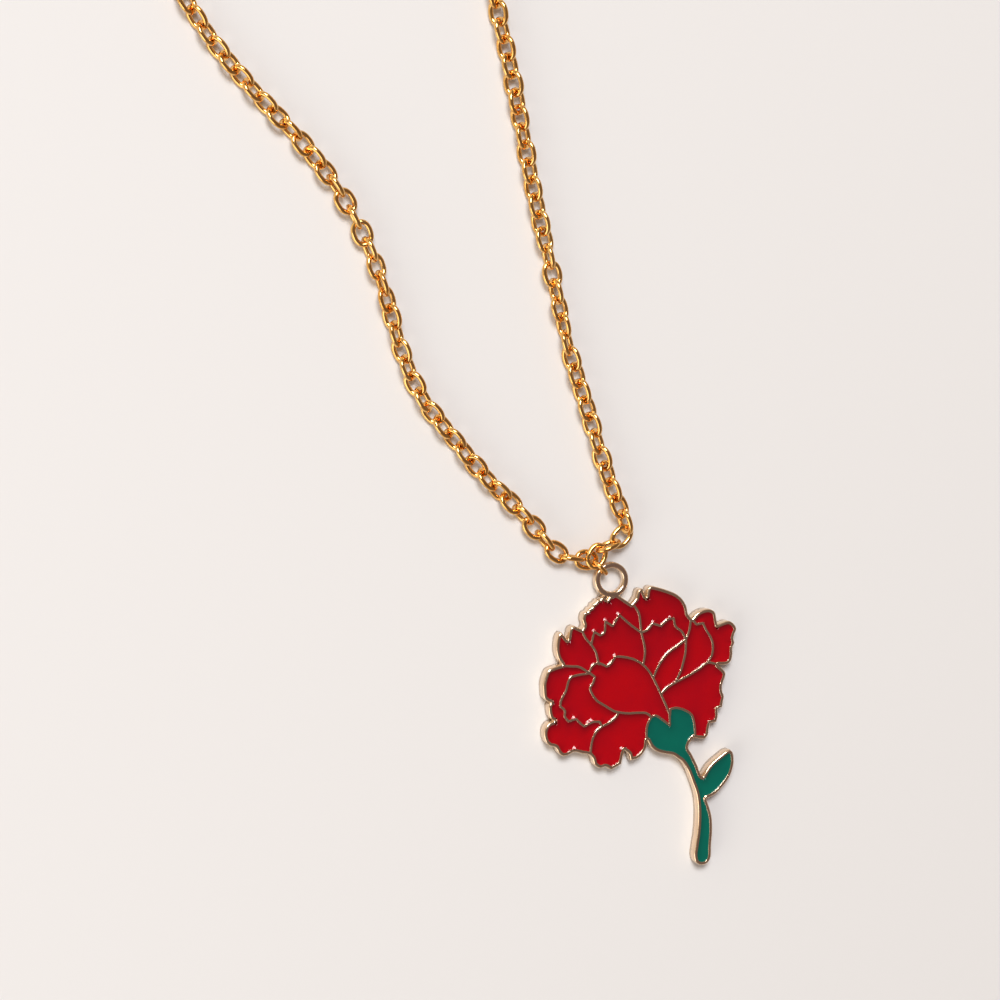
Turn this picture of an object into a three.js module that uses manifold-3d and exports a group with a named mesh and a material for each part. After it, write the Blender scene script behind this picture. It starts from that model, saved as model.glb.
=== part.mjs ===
// Pendant necklace: a gold-tone cable chain with an enamelled carnation charm,
// a lobster clasp and a short extender. Millimetres, +Z up.
// It lies flat, as it is put down on a table: X to the right, Y away from the charm's stem,
// and the origin is on the flat back of the charm, under the middle of the flower.
import * as THREE from 'three';
import { mergeVertices } from 'three/addons/utils/BufferGeometryUtils.js';
import Module from 'manifold-3d';

const wasm = await Module();
wasm.setup();

// ---- Driving dimensions ----------------------------------------------------------------

// Charm: a cast plate with raised walls (cloisons) and enamel poured between them
const CHARM_THICK = 1.5;        // back face to the top of the rim
const POCKET_FLOOR = 0.85;      // the enamel lies on the plate at this height
const ENAMEL_TOP = 1.42;        // just below the rim
const RIM_WIDTH = 0.34;         // metal all round the outside
const WALL_WIDTH = 0.2;         // thin walls between the cells
const ENAMEL_GAP = 0.04;        // between enamel and metal
const POST_SIDES = 8;           // of the rim's inward corners
const SHARPEST_CUT = 0.4;       // keeps the walls' points short
const RING_CENTRE = [-3.6, 10.6];
const RING_OUTER = 1.76;
const RING_INNER = 1.21;
const RING_BOTTOM = 0.6;        // the ring is thinner than the plate and flush with its top
const RING_EDGE = 0.15;
const RING_SIDES = 24;
const NECK_HALF_WIDTH = 0.8;    // metal between ring and petals
const NECK_FOOT = 8.2;

// Chain: oval links of round wire, drawn with few sides
const LINK_WIDTH = 2.14;        // outside, over the corners
const LINK_STEPS = 6;
const LINK_PITCH = 1.76;        // from one link to the next
const WIRE = 0.3;               // corner radius of the three-sided wire, for 0.42 mm round wire
const SINK = 0.04;              // links of one node sink into each other by this much
const SLACK = 0.06;             // and links of two nodes hang free by this much
const LINKS_EACH_SIDE = 102;    // 38 cm closed, with the clasp and its rings
const LINKS_PER_NODE = 7;
const LIFT = 0.02;              // everything that lies down is this far above Z = 0
const DESCENT = 0.06;           // a run that starts high comes down by this much per link

// Hanger: the link that holds the charm's ring, standing on edge
const HANGER_INNER_LENGTH = 1.5;
const HANGER_INNER_WIDTH = 1.5;
const HANGER_TO_RING = 0.46;    // from the wire's middle to the ring's inner wall
const HANGER_ANGLE = -45;       // degrees, pointing to the ring's centre
const HANGER_STEPS = 8;
const HANGER_FLAT = Math.cos(Math.PI / HANGER_STEPS);
const FIRST_LINK_STEP = 0.39;   // the two first links lie this far under and over its middle

// Clasp end
const JUMP_RING_OUTER = 2.1;
const JUMP_WIRE = 0.3;
const JUMP_SIDES = 12;
const CLASP_RING_HEIGHT = 1.27; // where the ring holds the clasp's loop
const EXTENDER_RING_HEIGHT = 1.6;
const CLASP_THICK = 1.8;
const LEVER_THICK = 0.7;
const PIN_RADIUS = 0.3;
const PIN_SIDES = 12;
const PIN_CLEARANCE = 0.06;
const LEVER_CLEARANCE = 0.12;
const EXTENDER_WIDTH = 3.2;
const EXTENDER_PITCH = 2.9;
const EXTENDER_WIRE = 0.42;
const EXTENDER_LINKS = 16;
const EXTENDER_LINKS_PER_NODE = 8;
const DROP_LENGTH = 6.5;
const DROP_RADIUS = 1.7;

const GOLD = { color: 0xd9a03a, roughness: 0.25, metalness: 1 };
const PALE_GOLD = { color: 0xb9a58c, roughness: 0.3, metalness: 1 };
const RED = { color: 0xa50014, roughness: 0.15, metalness: 0 };
const GREEN = { color: 0x006450, roughness: 0.15, metalness: 0 };

// ---- Outlines of the charm, in X and Y ---------------------------------------------------

// Outer edge of flower, stem and leaf, from the ring's left foot and down the left side
const CHARM_OUTLINE = [
  [-5.2, 8.7], [-4.6, 8.8], [-4.1, 8.6], [-3.7, 9.0], [-3.2, 9.2], [-2.7, 8.9], [-2.1, 8.5],
  [-1.5, 8.1], [-1.3, 8.3], [-1.0, 8.7], [-0.9, 9.1], [-0.7, 9.5], [-0.3, 9.6], [0.1, 8.7],
  [0.3, 9.6], [0.6, 9.8], [1.6, 9.6], [2.5, 9.3], [3.4, 8.9], [4.1, 8.3], [4.5, 7.6],
  [4.7, 6.8], [5.1, 6.3], [5.7, 6.9], [6.5, 7.2], [7.1, 7.2], [7.6, 6.9], [7.8, 6.2],
  [7.9, 5.6], [8.5, 5.8], [9.2, 5.9], [9.8, 5.5], [10.0, 5.0], [9.8, 4.5], [9.7, 4.1],
  [9.8, 3.6], [9.6, 3.1], [9.6, 2.4], [9.4, 1.7], [8.9, 1.4], [8.0, 1.4], [8.5, 1.0],
  [8.9, 0.5], [8.8, 0.0], [8.6, -0.7], [8.6, -1.3], [8.8, -1.9], [8.7, -2.4], [8.7, -3.0],
  [8.1, -3.3], [8.1, -4.0], [7.9, -4.6], [7.2, -4.7], [7.1, -5.2], [7.0, -5.9], [6.6, -6.3],
  [6.0, -6.2], [5.3, -6.1], [4.9, -6.6], [4.8, -7.0], [5.2, -7.7], [5.8, -8.9], [6.2, -9.9],
  [6.4, -10.1], [6.8, -9.4], [7.4, -8.7], [8.4, -8.0], [9.3, -7.5], [9.6, -7.8], [9.7, -8.7],
  [9.5, -10.0], [8.7, -11.0], [7.9, -11.9], [6.8, -12.4], [7.0, -12.9], [7.4, -14.2],
  [7.5, -15.7], [7.4, -17.2], [7.3, -18.7], [6.9, -19.2], [6.2, -19.3], [5.7, -19.0],
  [5.5, -18.3], [5.6, -17.4], [5.8, -16.1], [5.9, -14.9], [5.9, -13.4], [5.7, -11.9],
  [5.2, -10.5], [4.7, -9.3], [4.1, -8.4], [3.7, -8.1], [3.1, -7.7], [2.2, -7.5], [1.3, -7.2],
  [0.7, -6.7], [0.3, -6.0], [0.2, -6.8], [-0.2, -7.4], [-0.7, -7.8], [-1.5, -8.0],
  [-1.7, -7.3], [-2.2, -6.9], [-2.5, -8.3], [-3.1, -8.6], [-3.6, -8.8], [-4.2, -8.5],
  [-4.8, -8.6], [-5.4, -8.2], [-5.6, -7.6], [-5.9, -7.2], [-6.7, -7.0], [-7.6, -6.8],
  [-8.3, -7.1], [-8.9, -7.1], [-9.3, -6.7], [-9.6, -6.2], [-10.2, -6.0], [-10.6, -5.6],
  [-10.8, -4.9], [-10.7, -4.2], [-10.3, -3.7], [-9.7, -3.5], [-10.1, -3.2], [-10.3, -2.5],
  [-10.3, -1.9], [-10.1, -1.6], [-10.4, -1.5], [-10.8, -1.1], [-10.9, -0.3], [-10.9, 0.4],
  [-10.7, 1.1], [-10.4, 1.7], [-9.7, 2.0], [-8.9, 2.2], [-9.3, 2.8], [-9.5, 3.5],
  [-9.5, 4.3], [-9.3, 5.2], [-9.0, 5.5], [-8.3, 4.7], [-8.0, 5.9], [-7.6, 6.1], [-6.8, 5.7],
  [-6.6, 6.1], [-6.7, 6.9], [-6.5, 7.4], [-6.1, 7.7], [-5.6, 8.3],
];

// Middle lines of the walls between the cells; they end inside the rim or in another wall
const WALLS = [
  [[-1.5, 8.3], [-0.7, 7.1], [-0.5, 5.9], [-0.4, 5.1], [-0.1, 3.9], [0.0, 3.1], [-0.2, 1.8]],
  [[-5.8, 4.1], [-5.5, 5.4], [-4.8, 5.0], [-4.4, 5.3], [-4.3, 6.4], [-3.5, 5.9],
    [-2.8, 7.0], [-1.5, 5.9], [-0.4, 5.1]],
  [[-6.9, 5.9], [-6.4, 4.8], [-5.8, 4.1], [-5.3, 3.3], [-5.0, 2.1]],
  [[-6.0, 1.3], [-5.7, 1.9], [-5.1, 2.2], [-4.1, 1.8], [-3.7, 2.1], [-3.2, 2.8],
    [-2.3, 2.7], [-1.2, 2.4], [-0.2, 1.8], [0.6, 0.9], [1.0, 0.2], [1.7, -1.2],
    [2.4, -2.7], [2.75, -3.5]],
  [[-9.0, 2.1], [-8.0, 2.0], [-7.1, 1.9], [-6.4, 1.5], [-5.9, 1.2]],
  [[-5.9, 1.2], [-7.0, 1.1], [-7.9, 0.9], [-8.2, 0.5], [-8.5, -0.5], [-9.0, -1.4],
    [-9.1, -2.0], [-8.6, -2.5], [-8.6, -3.1], [-8.2, -3.6], [-7.4, -3.4], [-6.9, -3.9],
    [-6.5, -4.2], [-5.6, -3.8], [-4.9, -3.8], [-4.6, -4.3]],
  [[-5.9, 1.2], [-5.4, 0.8], [-5.6, 0.2], [-5.9, -0.3], [-5.7, -0.9], [-5.2, -1.6],
    [-4.3, -2.2], [-3.3, -2.8], [-2.8, -2.95], [-1.8, -3.1], [-0.8, -3.1], [0.2, -3.2],
    [0.7, -3.6]],
  [[-2.8, -2.95], [-3.2, -3.5], [-3.9, -4.0], [-4.6, -4.3], [-5.2, -4.8], [-5.6, -5.5],
    [-5.8, -6.5], [-5.8, -7.2]],
  [[0.7, -3.6], [0.3, -4.4], [0.2, -5.2], [0.3, -6.2]],
  [[-0.4, 5.1], [0.3, 5.4], [0.8, 6.0], [1.7, 5.7], [2.6, 6.4], [3.1, 6.4], [3.3, 5.6],
    [4.0, 5.0], [4.45, 4.2]],
  [[5.0, 6.4], [4.8, 5.1], [4.45, 4.2]],
  [[4.45, 4.2], [3.4, 3.5], [2.5, 2.9], [1.8, 2.1], [1.3, 1.3], [0.95, 0.5]],
  [[4.45, 4.2], [4.4, 2.9], [4.2, 2.0], [3.9, 1.0], [3.3, -0.2]],
  [[5.05, 6.3], [5.6, 5.7], [6.3, 5.8], [6.7, 5.0], [7.2, 4.2], [7.4, 3.4], [7.3, 2.5],
    [6.9, 1.8]],
  [[8.2, 1.35], [6.9, 1.7], [5.9, 1.1], [4.8, 0.5], [3.9, 0.1], [2.9, -0.4], [2.4, -0.7],
    [1.75, -1.3]],
  [[2.75, -3.5], [2.8, -2.9], [3.4, -2.8], [4.4, -3.1], [5.1, -3.6], [5.4, -4.5],
    [5.5, -5.3], [5.5, -6.3]],
  [[0.7, -3.6], [1.2, -3.5], [2.0, -4.0], [2.75, -4.6], [2.7, -3.4]],
];

// One point inside each enamel cell
const CELLS = [
  ['petal_top_left', [-3.0, 7.9], RED],
  ['petal_top_left_inner', [-3.0, 4.2], RED],
  ['petal_top_right', [1.6, 7.8], RED],
  ['petal_top_right_inner', [1.6, 4.2], RED],
  ['petal_centre_right', [2.8, 1.6], RED],
  ['petal_right_inner', [5.6, 3.2], RED],
  ['petal_right_outer', [8.4, 3.6], RED],
  ['petal_lower_right', [5.8, -1.6], RED],
  ['petal_upper_left', [-7.6, 3.7], RED],
  ['petal_left_outer', [-9.5, -0.3], RED],
  ['petal_left_inner', [-6.9, -1.2], RED],
  ['petal_centre', [-2.0, 0.0], RED],
  ['petal_bottom', [-2.6, -5.2], RED],
  ['calyx_stem_leaf', [3.0, -5.8], GREEN],
];

// ---- Lie of the chain, in X and Y, from the hanger to the clasp end -------------------------

const LEFT_ROUTE = [
  [-7.3, 12.9], [-9.2, 13.3], [-11.3, 15.6], [-13.4, 18.0], [-16.9, 21.4], [-20.0, 25.1],
  [-23.3, 29.2], [-25.4, 33.8], [-26.8, 38.5], [-28.4, 43.2], [-31.3, 48.9], [-35.2, 54.0],
  [-39.6, 58.6], [-43.4, 62.9], [-46.4, 67.2], [-52, 77], [-57, 89], [-60, 102],
  [-60.5, 115], [-58, 128], [-52, 140], [-43, 150], [-32, 157], [-20, 161], [-8, 163],
];
const RIGHT_ROUTE = [
  [-4.9, 13.7], [-3.5, 14.3], [-2.1, 15.0], [-2.0, 16.5], [-2.8, 17.9], [-4.9, 23.9], [-5.9, 27.2],
  [-8.0, 33.6], [-9.3, 38.8], [-10.4, 43.6], [-11.8, 49.5], [-13.1, 56.0], [-14.4, 62.4],
  [-15.7, 68.0], [-16.4, 76], [-15, 88], [-11, 100], [-5, 111], [2, 122], [8, 134],
  [10.5, 147], [9, 160], [3, 171], [-6, 178], [-17, 181], [-28, 181],
];
const EXTENDER_ROUTE = [
  [-9.5, 180.3], [-16, 182.5], [-24, 182], [-31, 178], [-37.5, 172.5], [-45, 169.5],
  [-53, 170], [-61, 173],
];

// Turn of the chain about its own length, in degrees, by distance from the hanger in mm.
// At 0 the links lie flat and stand on edge by turns, and at 45 they all lean alike.
const LEFT_TURN = [
  [0, 0], [7, 8], [13, 42], [32, 45], [38, 12], [46, -4], [52, 30], [60, 46], [170, 46],
  [177, 0],
];
const RIGHT_TURN = [
  [0, 0], [3.5, 4], [6, 20], [10, 44], [24, 44], [29, 12], [33, 6], [37, 40],
  [60, 46], [170, 46], [177, 0],
];
const EXTENDER_TURN = [[0, 90], [8, 50], [40, 45], [46, 90]];

// ---- Solids ----------------------------------------------------------------------------

// A solid from a closed three.js geometry
function solidOf(geometry) {
  const bare = geometry.index ? geometry.toNonIndexed() : geometry.clone();
  bare.deleteAttribute('normal');
  bare.deleteAttribute('uv');
  const merged = mergeVertices(bare, 1e-4);
  const corners = [];
  const index = merged.index.array;
  for (let i = 0; i < index.length; i += 3) {
    const [a, b, c] = [index[i], index[i + 1], index[i + 2]];
    if (a !== b && b !== c && c !== a) corners.push(a, b, c);
  }
  return new wasm.Manifold(new wasm.Mesh({
    numProp: 3,
    vertProperties: new Float32Array(merged.attributes.position.array),
    triVerts: new Uint32Array(corners),
  }));
}

function geometryOf(solid) {
  const { vertProperties, triVerts } = solid.getMesh();
  const geometry = new THREE.BufferGeometry();
  geometry.setAttribute('position', new THREE.BufferAttribute(vertProperties.slice(), 3));
  geometry.setIndex(new THREE.BufferAttribute(triVerts.slice(), 1));
  return geometry;
}

function joined(solids) {
  return wasm.Manifold.union(solids);
}

function meshOf(name, solid, finish) {
  const mesh = new THREE.Mesh(geometryOf(solid), new THREE.MeshStandardMaterial(finish));
  mesh.name = name;
  return mesh;
}

// A flat outline raised from bottom to top
function slab(points, bottom, top) {
  const shape = new THREE.Shape(points.map(([x, y]) => new THREE.Vector2(x, y)));
  const geometry = new THREE.ExtrudeGeometry(shape, { depth: top - bottom, bevelEnabled: false });
  return solidOf(geometry.translate(0, 0, bottom));
}

// A turned solid about a line parallel to Z, from a profile of radius and height
function turned([x, y], profile, sides) {
  const lathe = new THREE.LatheGeometry(profile.map(([r, z]) => new THREE.Vector2(r, z)), sides);
  return solidOf(lathe.rotateX(Math.PI / 2).translate(x, y, 0));
}

function post(centre, radius, bottom, top, sides) {
  return turned(centre, [[0, bottom], [radius, bottom], [radius, top], [0, top]], sides);
}

// The charm's ring, with its edges broken
function charmRing() {
  const [bottom, top, edge] = [RING_BOTTOM, CHARM_THICK, RING_EDGE];
  return turned(RING_CENTRE, [
    [RING_INNER + edge, bottom], [RING_OUTER - edge, bottom], [RING_OUTER, bottom + edge],
    [RING_OUTER, top - edge], [RING_OUTER - edge, top], [RING_INNER + edge, top],
    [RING_INNER, top - edge], [RING_INNER, bottom + edge], [RING_INNER + edge, bottom],
  ], RING_SIDES);
}

// ---- Charm -----------------------------------------------------------------------------

// A wall along an open line of points: one four-cornered block for each stretch, with its
// ends cut on the bend
function wallAlong(points, width, bottom, top) {
  const at = points.map(([x, y]) => new THREE.Vector2(x, y));
  const ways = at.slice(1).map((p, i) => p.clone().sub(at[i]).normalize());
  at[0].addScaledVector(ways[0], -width / 2);
  at[at.length - 1].addScaledVector(ways[ways.length - 1], width / 2);
  const edges = at.map((p, i) => {
    const along = ways[Math.max(i - 1, 0)].clone().add(ways[Math.min(i, ways.length - 1)]);
    const reach = width / 2 / Math.max(along.length() / 2, SHARPEST_CUT);
    along.normalize();
    const side = new THREE.Vector2(-along.y, along.x).multiplyScalar(reach);
    return [p.clone().sub(side), p.clone().add(side)];
  });
  const blocks = ways.map((_, i) => {
    const corners = [edges[i][0], edges[i + 1][0], edges[i + 1][1], edges[i][1]];
    return slab(corners.map((p) => [p.x, p.y]), bottom, top);
  });
  return joined(blocks);
}

// A rim inside a closed outline: a block for each side and a post at each corner
function rimAlong(points, width, bottom, top) {
  const solids = [];
  points.forEach(([x, y], i) => {
    const from = new THREE.Vector2(x, y);
    const to = new THREE.Vector2(...points[(i + 1) % points.length]);
    const along = to.clone().sub(from).normalize();
    const side = new THREE.Vector2(-along.y, along.x).multiplyScalar(width);
    const corners = [from.clone().sub(side), to.clone().sub(side), to.clone().add(side),
      from.clone().add(side)];
    solids.push(slab(corners.map((p) => [p.x, p.y]), bottom, top));
    solids.push(post([x, y], width, bottom, top, POST_SIDES));
  });
  return joined(solids);
}

// The spaces between rim and walls, each shrunk by a gap
function cellsOf(gap, bottom, top) {
  const [low, high] = [bottom - 1, top + 1];
  const metal = [rimAlong(CHARM_OUTLINE, RIM_WIDTH + gap, low, high)];
  for (const line of WALLS) metal.push(wallAlong(line, WALL_WIDTH + 2 * gap, low, high));
  return slab(CHARM_OUTLINE, bottom, top).subtract(joined(metal));
}

function makeCharm(group) {
  const [rx, ry] = RING_CENTRE;
  const neck = slab([
    [rx - NECK_HALF_WIDTH, NECK_FOOT], [rx + NECK_HALF_WIDTH, NECK_FOOT],
    [rx + NECK_HALF_WIDTH, ry - RING_INNER], [rx - NECK_HALF_WIDTH, ry - RING_INNER],
  ], RING_BOTTOM, CHARM_THICK);
  const hole = post(RING_CENTRE, RING_INNER + RING_EDGE, -1, CHARM_THICK + 1, RING_SIDES);
  const plate = slab(CHARM_OUTLINE, 0, CHARM_THICK).add(neck).subtract(hole).add(charmRing());
  const pockets = cellsOf(0, POCKET_FLOOR, CHARM_THICK + 1).decompose();
  const enamels = cellsOf(ENAMEL_GAP, POCKET_FLOOR + ENAMEL_GAP, ENAMEL_TOP).decompose();
  let body = plate;
  for (const [name, [x, y], finish] of CELLS) {
    const probe = slab([[x - 0.05, y - 0.05], [x + 0.05, y - 0.05], [x, y + 0.05]], 1, 1.2);
    const holds = (solid) => !solid.intersect(probe).isEmpty();
    body = body.subtract(pockets.find(holds));
    group.add(meshOf(name, enamels.find(holds), finish));
  }
  group.add(meshOf('charm_body', body, PALE_GOLD));
}

// ---- Links -----------------------------------------------------------------------------

// A closed loop of few-sided wire, round or drawn out along X, its plane in XY. It has a flat
// stretch at each end, where the next one hangs, and one corner of its wire points inwards:
// the tube radius is negative for that.
function loopSolid(radius, stretch, wire, wireSides, steps) {
  const geometry = new THREE.TorusGeometry(radius, -wire, wireSides, steps);
  const position = geometry.rotateZ(Math.PI / steps).attributes.position;
  for (let i = 0; i < position.count; i += 1) {
    const x = position.getX(i);
    if (Math.abs(x) > 0.01) position.setX(i, x + Math.sign(x) * stretch);
  }
  return solidOf(geometry);
}

function linkSolid(innerLength, outerWidth, wire) {
  const radius = outerWidth / 2 - wire / 2;
  const stretch = innerLength / 2 - (radius - wire) * Math.cos(Math.PI / LINK_STEPS);
  return loopSolid(radius, stretch, wire, 3, LINK_STEPS);
}

function radians(degrees) {
  return degrees * Math.PI / 180;
}

// Placing of a link between two points, turned about the line between them
function placing(from, to, turn) {
  const along = to.clone().sub(from).normalize();
  const up = new THREE.Vector3(0, 0, 1);
  up.addScaledVector(along, -up.dot(along)).normalize();
  up.applyAxisAngle(along, turn);
  const side = up.clone().cross(along);
  const matrix = new THREE.Matrix4().makeBasis(along, side, up);
  return matrix.setPosition(from.clone().add(to).multiplyScalar(0.5));
}

function valueAt(table, distance) {
  const last = table[table.length - 1];
  if (distance >= last[0]) return last[1];
  const k = table.findIndex(([d]) => d > distance);
  const [[d0, v0], [d1, v1]] = [table[k - 1], table[k]];
  const part = (distance - d0) / (d1 - d0);
  return v0 + (v1 - v0) * part * part * (3 - 2 * part);
}

// Height at which a chain rests when its links are turned this far, one way and the other
function restHeight(turn, width, wire) {
  const [sine, cosine] = [Math.abs(Math.sin(turn)), Math.abs(Math.cos(turn))];
  const halfWire = wire * Math.sin(Math.PI / 3);
  return Math.max(sine, cosine) * width / 2 + Math.min(sine, cosine) * halfWire + LIFT;
}

// Inner ends of a chain's links, one pitch apart along a smooth route. Links of one node
// sink into each other; where a node ends, the next link starts a little early, so it is loose.
function linksAlong(start, route, turns, count, perNode, link) {
  const path = [start, ...route.map(([x, y]) => new THREE.Vector3(x, y, 0))];
  const fine = new THREE.CatmullRomCurve3(path, false, 'centripetal').getPoints(path.length * 200);
  const pointFrom = (from, distance) => {
    const flat = (p) => Math.hypot(p.x - from.x, p.y - from.y);
    let k = fine.findLastIndex((p) => flat(p) < distance) + 1;
    const part = (distance - flat(fine[k - 1])) / (flat(fine[k]) - flat(fine[k - 1]));
    return fine[k - 1].clone().lerp(fine[k], part);
  };
  const links = [];
  let from = start.clone();
  for (let i = 0; i < count; i += 1) {
    const turn = radians(valueAt(turns, (i + 1) * link.pitch));
    const height = Math.max(restHeight(turn, link.width, link.wire), start.z - (i + 1) * DESCENT);
    const to = pointFrom(from, link.pitch).setZ(height);
    links.push([from, to]);
    const loose = (i + 1) % perNode === 0 ? SINK + SLACK : 0;
    from = pointFrom(from, link.pitch - loose).setZ(height);
  }
  return links;
}

// A chain's links, fused a few at a time into one node each
function addChain(group, name, links, turns, perNode, link) {
  const solid = linkSolid(link.pitch - SINK, link.width, link.wire);
  for (let first = 0, part = 1; first < links.length; first += perNode, part += 1) {
    const placed = links.slice(first, first + perNode).map(([from, to], k) => {
      const quarter = ((first + k) % 2) * Math.PI / 2;
      const turn = radians(valueAt(turns, (first + k) * link.pitch)) + quarter;
      return solid.transform(placing(from, to, turn).toArray());
    });
    group.add(meshOf(`${name}_${String(part).padStart(2, '0')}`, joined(placed), GOLD));
  }
}

// Where the chain's last link ends, and the way it points there, level
function endOf(links) {
  const [from, to] = links[links.length - 1];
  return { at: to, along: to.clone().sub(from).setZ(0).normalize() };
}

// A round ring that lies flat, hooked on what ends at a point; its own far end comes back
function addJumpRing(group, name, { at, along }, farHeight) {
  const radius = JUMP_RING_OUTER - JUMP_WIRE;
  const inner = 2 * (radius - JUMP_WIRE) * Math.cos(Math.PI / JUMP_SIDES);
  const from = at.clone().addScaledVector(along, -SLACK);
  const to = from.clone().addScaledVector(along, inner).setZ(farHeight);
  const ring = loopSolid(radius, 0, JUMP_WIRE, 4, JUMP_SIDES);
  group.add(meshOf(name, ring.transform(placing(from, to, 0).toArray()), GOLD));
  return { at: to, along };
}

// ---- Clasp end ---------------------------------------------------------------------------

// Lobster clasp in its own frame: X from the tail loop's middle to the nose
const CLASP_OUTLINE = [
  [0.9, -0.8], [2.2, -1.5], [4, -2.2], [6, -2.5], [7.8, -2.3], [9.1, -1.4], [9.6, -0.2],
  [9.3, 1.0], [8.4, 1.8], [7.4, 2.0], [7.4, 1.4], [8.0, 0.9], [8.4, 0.1], [8.1, -0.8],
  [7.2, -1.3], [6.0, -1.5], [4.8, -1.3], [4.0, -0.7], [3.7, 0.2], [3.5, 1.0], [2.7, 1.5],
  [1.8, 1.4], [0.9, 0.8],
];
const LEVER_OUTLINE = [
  [2.0, 0.7], [2.2, 0.2], [2.7, 0.0], [3.2, 0.25], [3.6, 0.75], [4.6, 1.15], [5.8, 1.3],
  [7.0, 1.25], [7.1, 1.9], [5.8, 2.1], [4.8, 2.05], [4.2, 2.2], [3.9, 2.8], [3.3, 2.95],
  [3.1, 2.4], [2.9, 1.8], [2.3, 1.35],
];
// Room for the lever's root in the body, also when the lever is open
const LEVER_SLOT = [
  [1.7, 0.6], [2.0, -0.1], [2.7, -0.35], [3.5, -0.5], [4.5, -1.0], [4.5, 2.5], [2.0, 2.5],
  [1.7, 1.4],
];
const PIN_AT = [2.7, 0.7];
const TAIL_LOOP = { radius: 0.95, wire: 0.3, sides: 12 };

// The clasp lies flat, hooked by its tail loop, which stands on edge
function addClasp(group, { at, along }) {
  const middle = CLASP_THICK / 2;
  const [low, high] = [middle - LEVER_THICK / 2, middle + LEVER_THICK / 2];
  const lever = slab(LEVER_OUTLINE, low, high);
  const hole = post(PIN_AT, PIN_RADIUS + PIN_CLEARANCE, -1, CLASP_THICK + 1, PIN_SIDES);
  const slot = slab(LEVER_SLOT, low - LEVER_CLEARANCE, high + LEVER_CLEARANCE);
  const body = slab(CLASP_OUTLINE, 0, CLASP_THICK).subtract(slot);
  const { radius, wire, sides } = TAIL_LOOP;
  const loop = loopSolid(radius, 0, wire, 4, sides).rotate([90, 0, 0])
    .translate([0, 0, radius + wire]);
  const inner = (radius - wire) * Math.cos(Math.PI / sides);
  const placed = placing(at, at.clone().add(along), 0)
    .setPosition(at.clone().addScaledVector(along, inner - SLACK).setZ(LIFT));
  const put = (solid) => solid.transform(placed.toArray());
  group.add(meshOf('clasp_body', put(body.subtract(hole).add(loop)), GOLD));
  group.add(meshOf('clasp_lever', put(lever.subtract(hole)), GOLD));
  const pin = post(PIN_AT, PIN_RADIUS, 0, CLASP_THICK, PIN_SIDES);
  group.add(meshOf('clasp_pin', put(pin), GOLD));
}

// The extender's end: a small drop with its loop, which stands on edge
function addDrop(group, { at, along }) {
  const { radius, wire, sides } = TAIL_LOOP;
  const inner = (radius - wire) * Math.cos(Math.PI / sides);
  const loop = loopSolid(radius, 0, wire, 4, sides).rotate([90, 0, 0]);
  const profile = [[0, 0.8], [0.45, 1.0], [0.8, 2.2], [1.35, 3.6], [DROP_RADIUS, 4.9],
    [1.45, 6.0], [0.8, DROP_LENGTH], [0, DROP_LENGTH + 0.1]];
  const lathe = new THREE.LatheGeometry(profile.map(([r, x]) => new THREE.Vector2(r, x)), 14);
  const drop = solidOf(lathe.rotateZ(-Math.PI / 2));
  const height = DROP_RADIUS + LIFT;
  const placed = placing(at, at.clone().add(along), 0)
    .setPosition(at.clone().addScaledVector(along, inner - SLACK).setZ(height));
  group.add(meshOf('extender_drop', drop.add(loop).transform(placed.toArray()), GOLD));
}

// ---- Assembly --------------------------------------------------------------------------

const necklace = new THREE.Group();
makeCharm(necklace);

// Hanger link, on edge, with the charm's ring inside it
const toRing = new THREE.Vector3(Math.cos(radians(HANGER_ANGLE)), Math.sin(radians(HANGER_ANGLE)), 0);
const hangerRadius = HANGER_INNER_WIDTH / 2 / HANGER_FLAT + WIRE;
const hangerHeight = (hangerRadius + WIRE / 2) * HANGER_FLAT + LIFT;
const hangerPin = new THREE.Vector3(...RING_CENTRE, hangerHeight)
  .addScaledVector(toRing, HANGER_TO_RING - RING_INNER);
const hangerInner = hangerPin.clone().addScaledVector(toRing, -WIRE * HANGER_FLAT);
const hangerOuter = hangerInner.clone().addScaledVector(toRing, -HANGER_INNER_LENGTH);
const hangerStretch = HANGER_INNER_LENGTH / 2 - (hangerRadius - WIRE) * HANGER_FLAT;
const hanger = loopSolid(hangerRadius, hangerStretch, WIRE, 3, HANGER_STEPS)
  .transform(placing(hangerOuter, hangerInner, Math.PI / 2).toArray());
necklace.add(meshOf('hanger_link', hanger, GOLD));

// The two runs of the chain
const CHAIN = { pitch: LINK_PITCH, width: LINK_WIDTH, wire: WIRE };
const hangerEnd = hangerOuter.clone().addScaledVector(toRing, -WIRE * HANGER_FLAT);
const hookedOn = ([x, y], height) => {
  const along = new THREE.Vector3(x, y, hangerHeight).sub(hangerEnd).normalize();
  return hangerEnd.clone().addScaledVector(along, -(WIRE + SLACK + SINK)).setZ(height);
};
const leftStart = hookedOn(LEFT_ROUTE[0], hangerHeight - FIRST_LINK_STEP);
const rightStart = hookedOn(RIGHT_ROUTE[0], hangerHeight + FIRST_LINK_STEP);
const leftLinks = linksAlong(leftStart, LEFT_ROUTE, LEFT_TURN, LINKS_EACH_SIDE,
  LINKS_PER_NODE, CHAIN);
const rightLinks = linksAlong(rightStart, RIGHT_ROUTE, RIGHT_TURN, LINKS_EACH_SIDE,
  LINKS_PER_NODE, CHAIN);
addChain(necklace, 'chain_left', leftLinks, LEFT_TURN, LINKS_PER_NODE, CHAIN);
addChain(necklace, 'chain_right', rightLinks, RIGHT_TURN, LINKS_PER_NODE, CHAIN);

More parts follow.
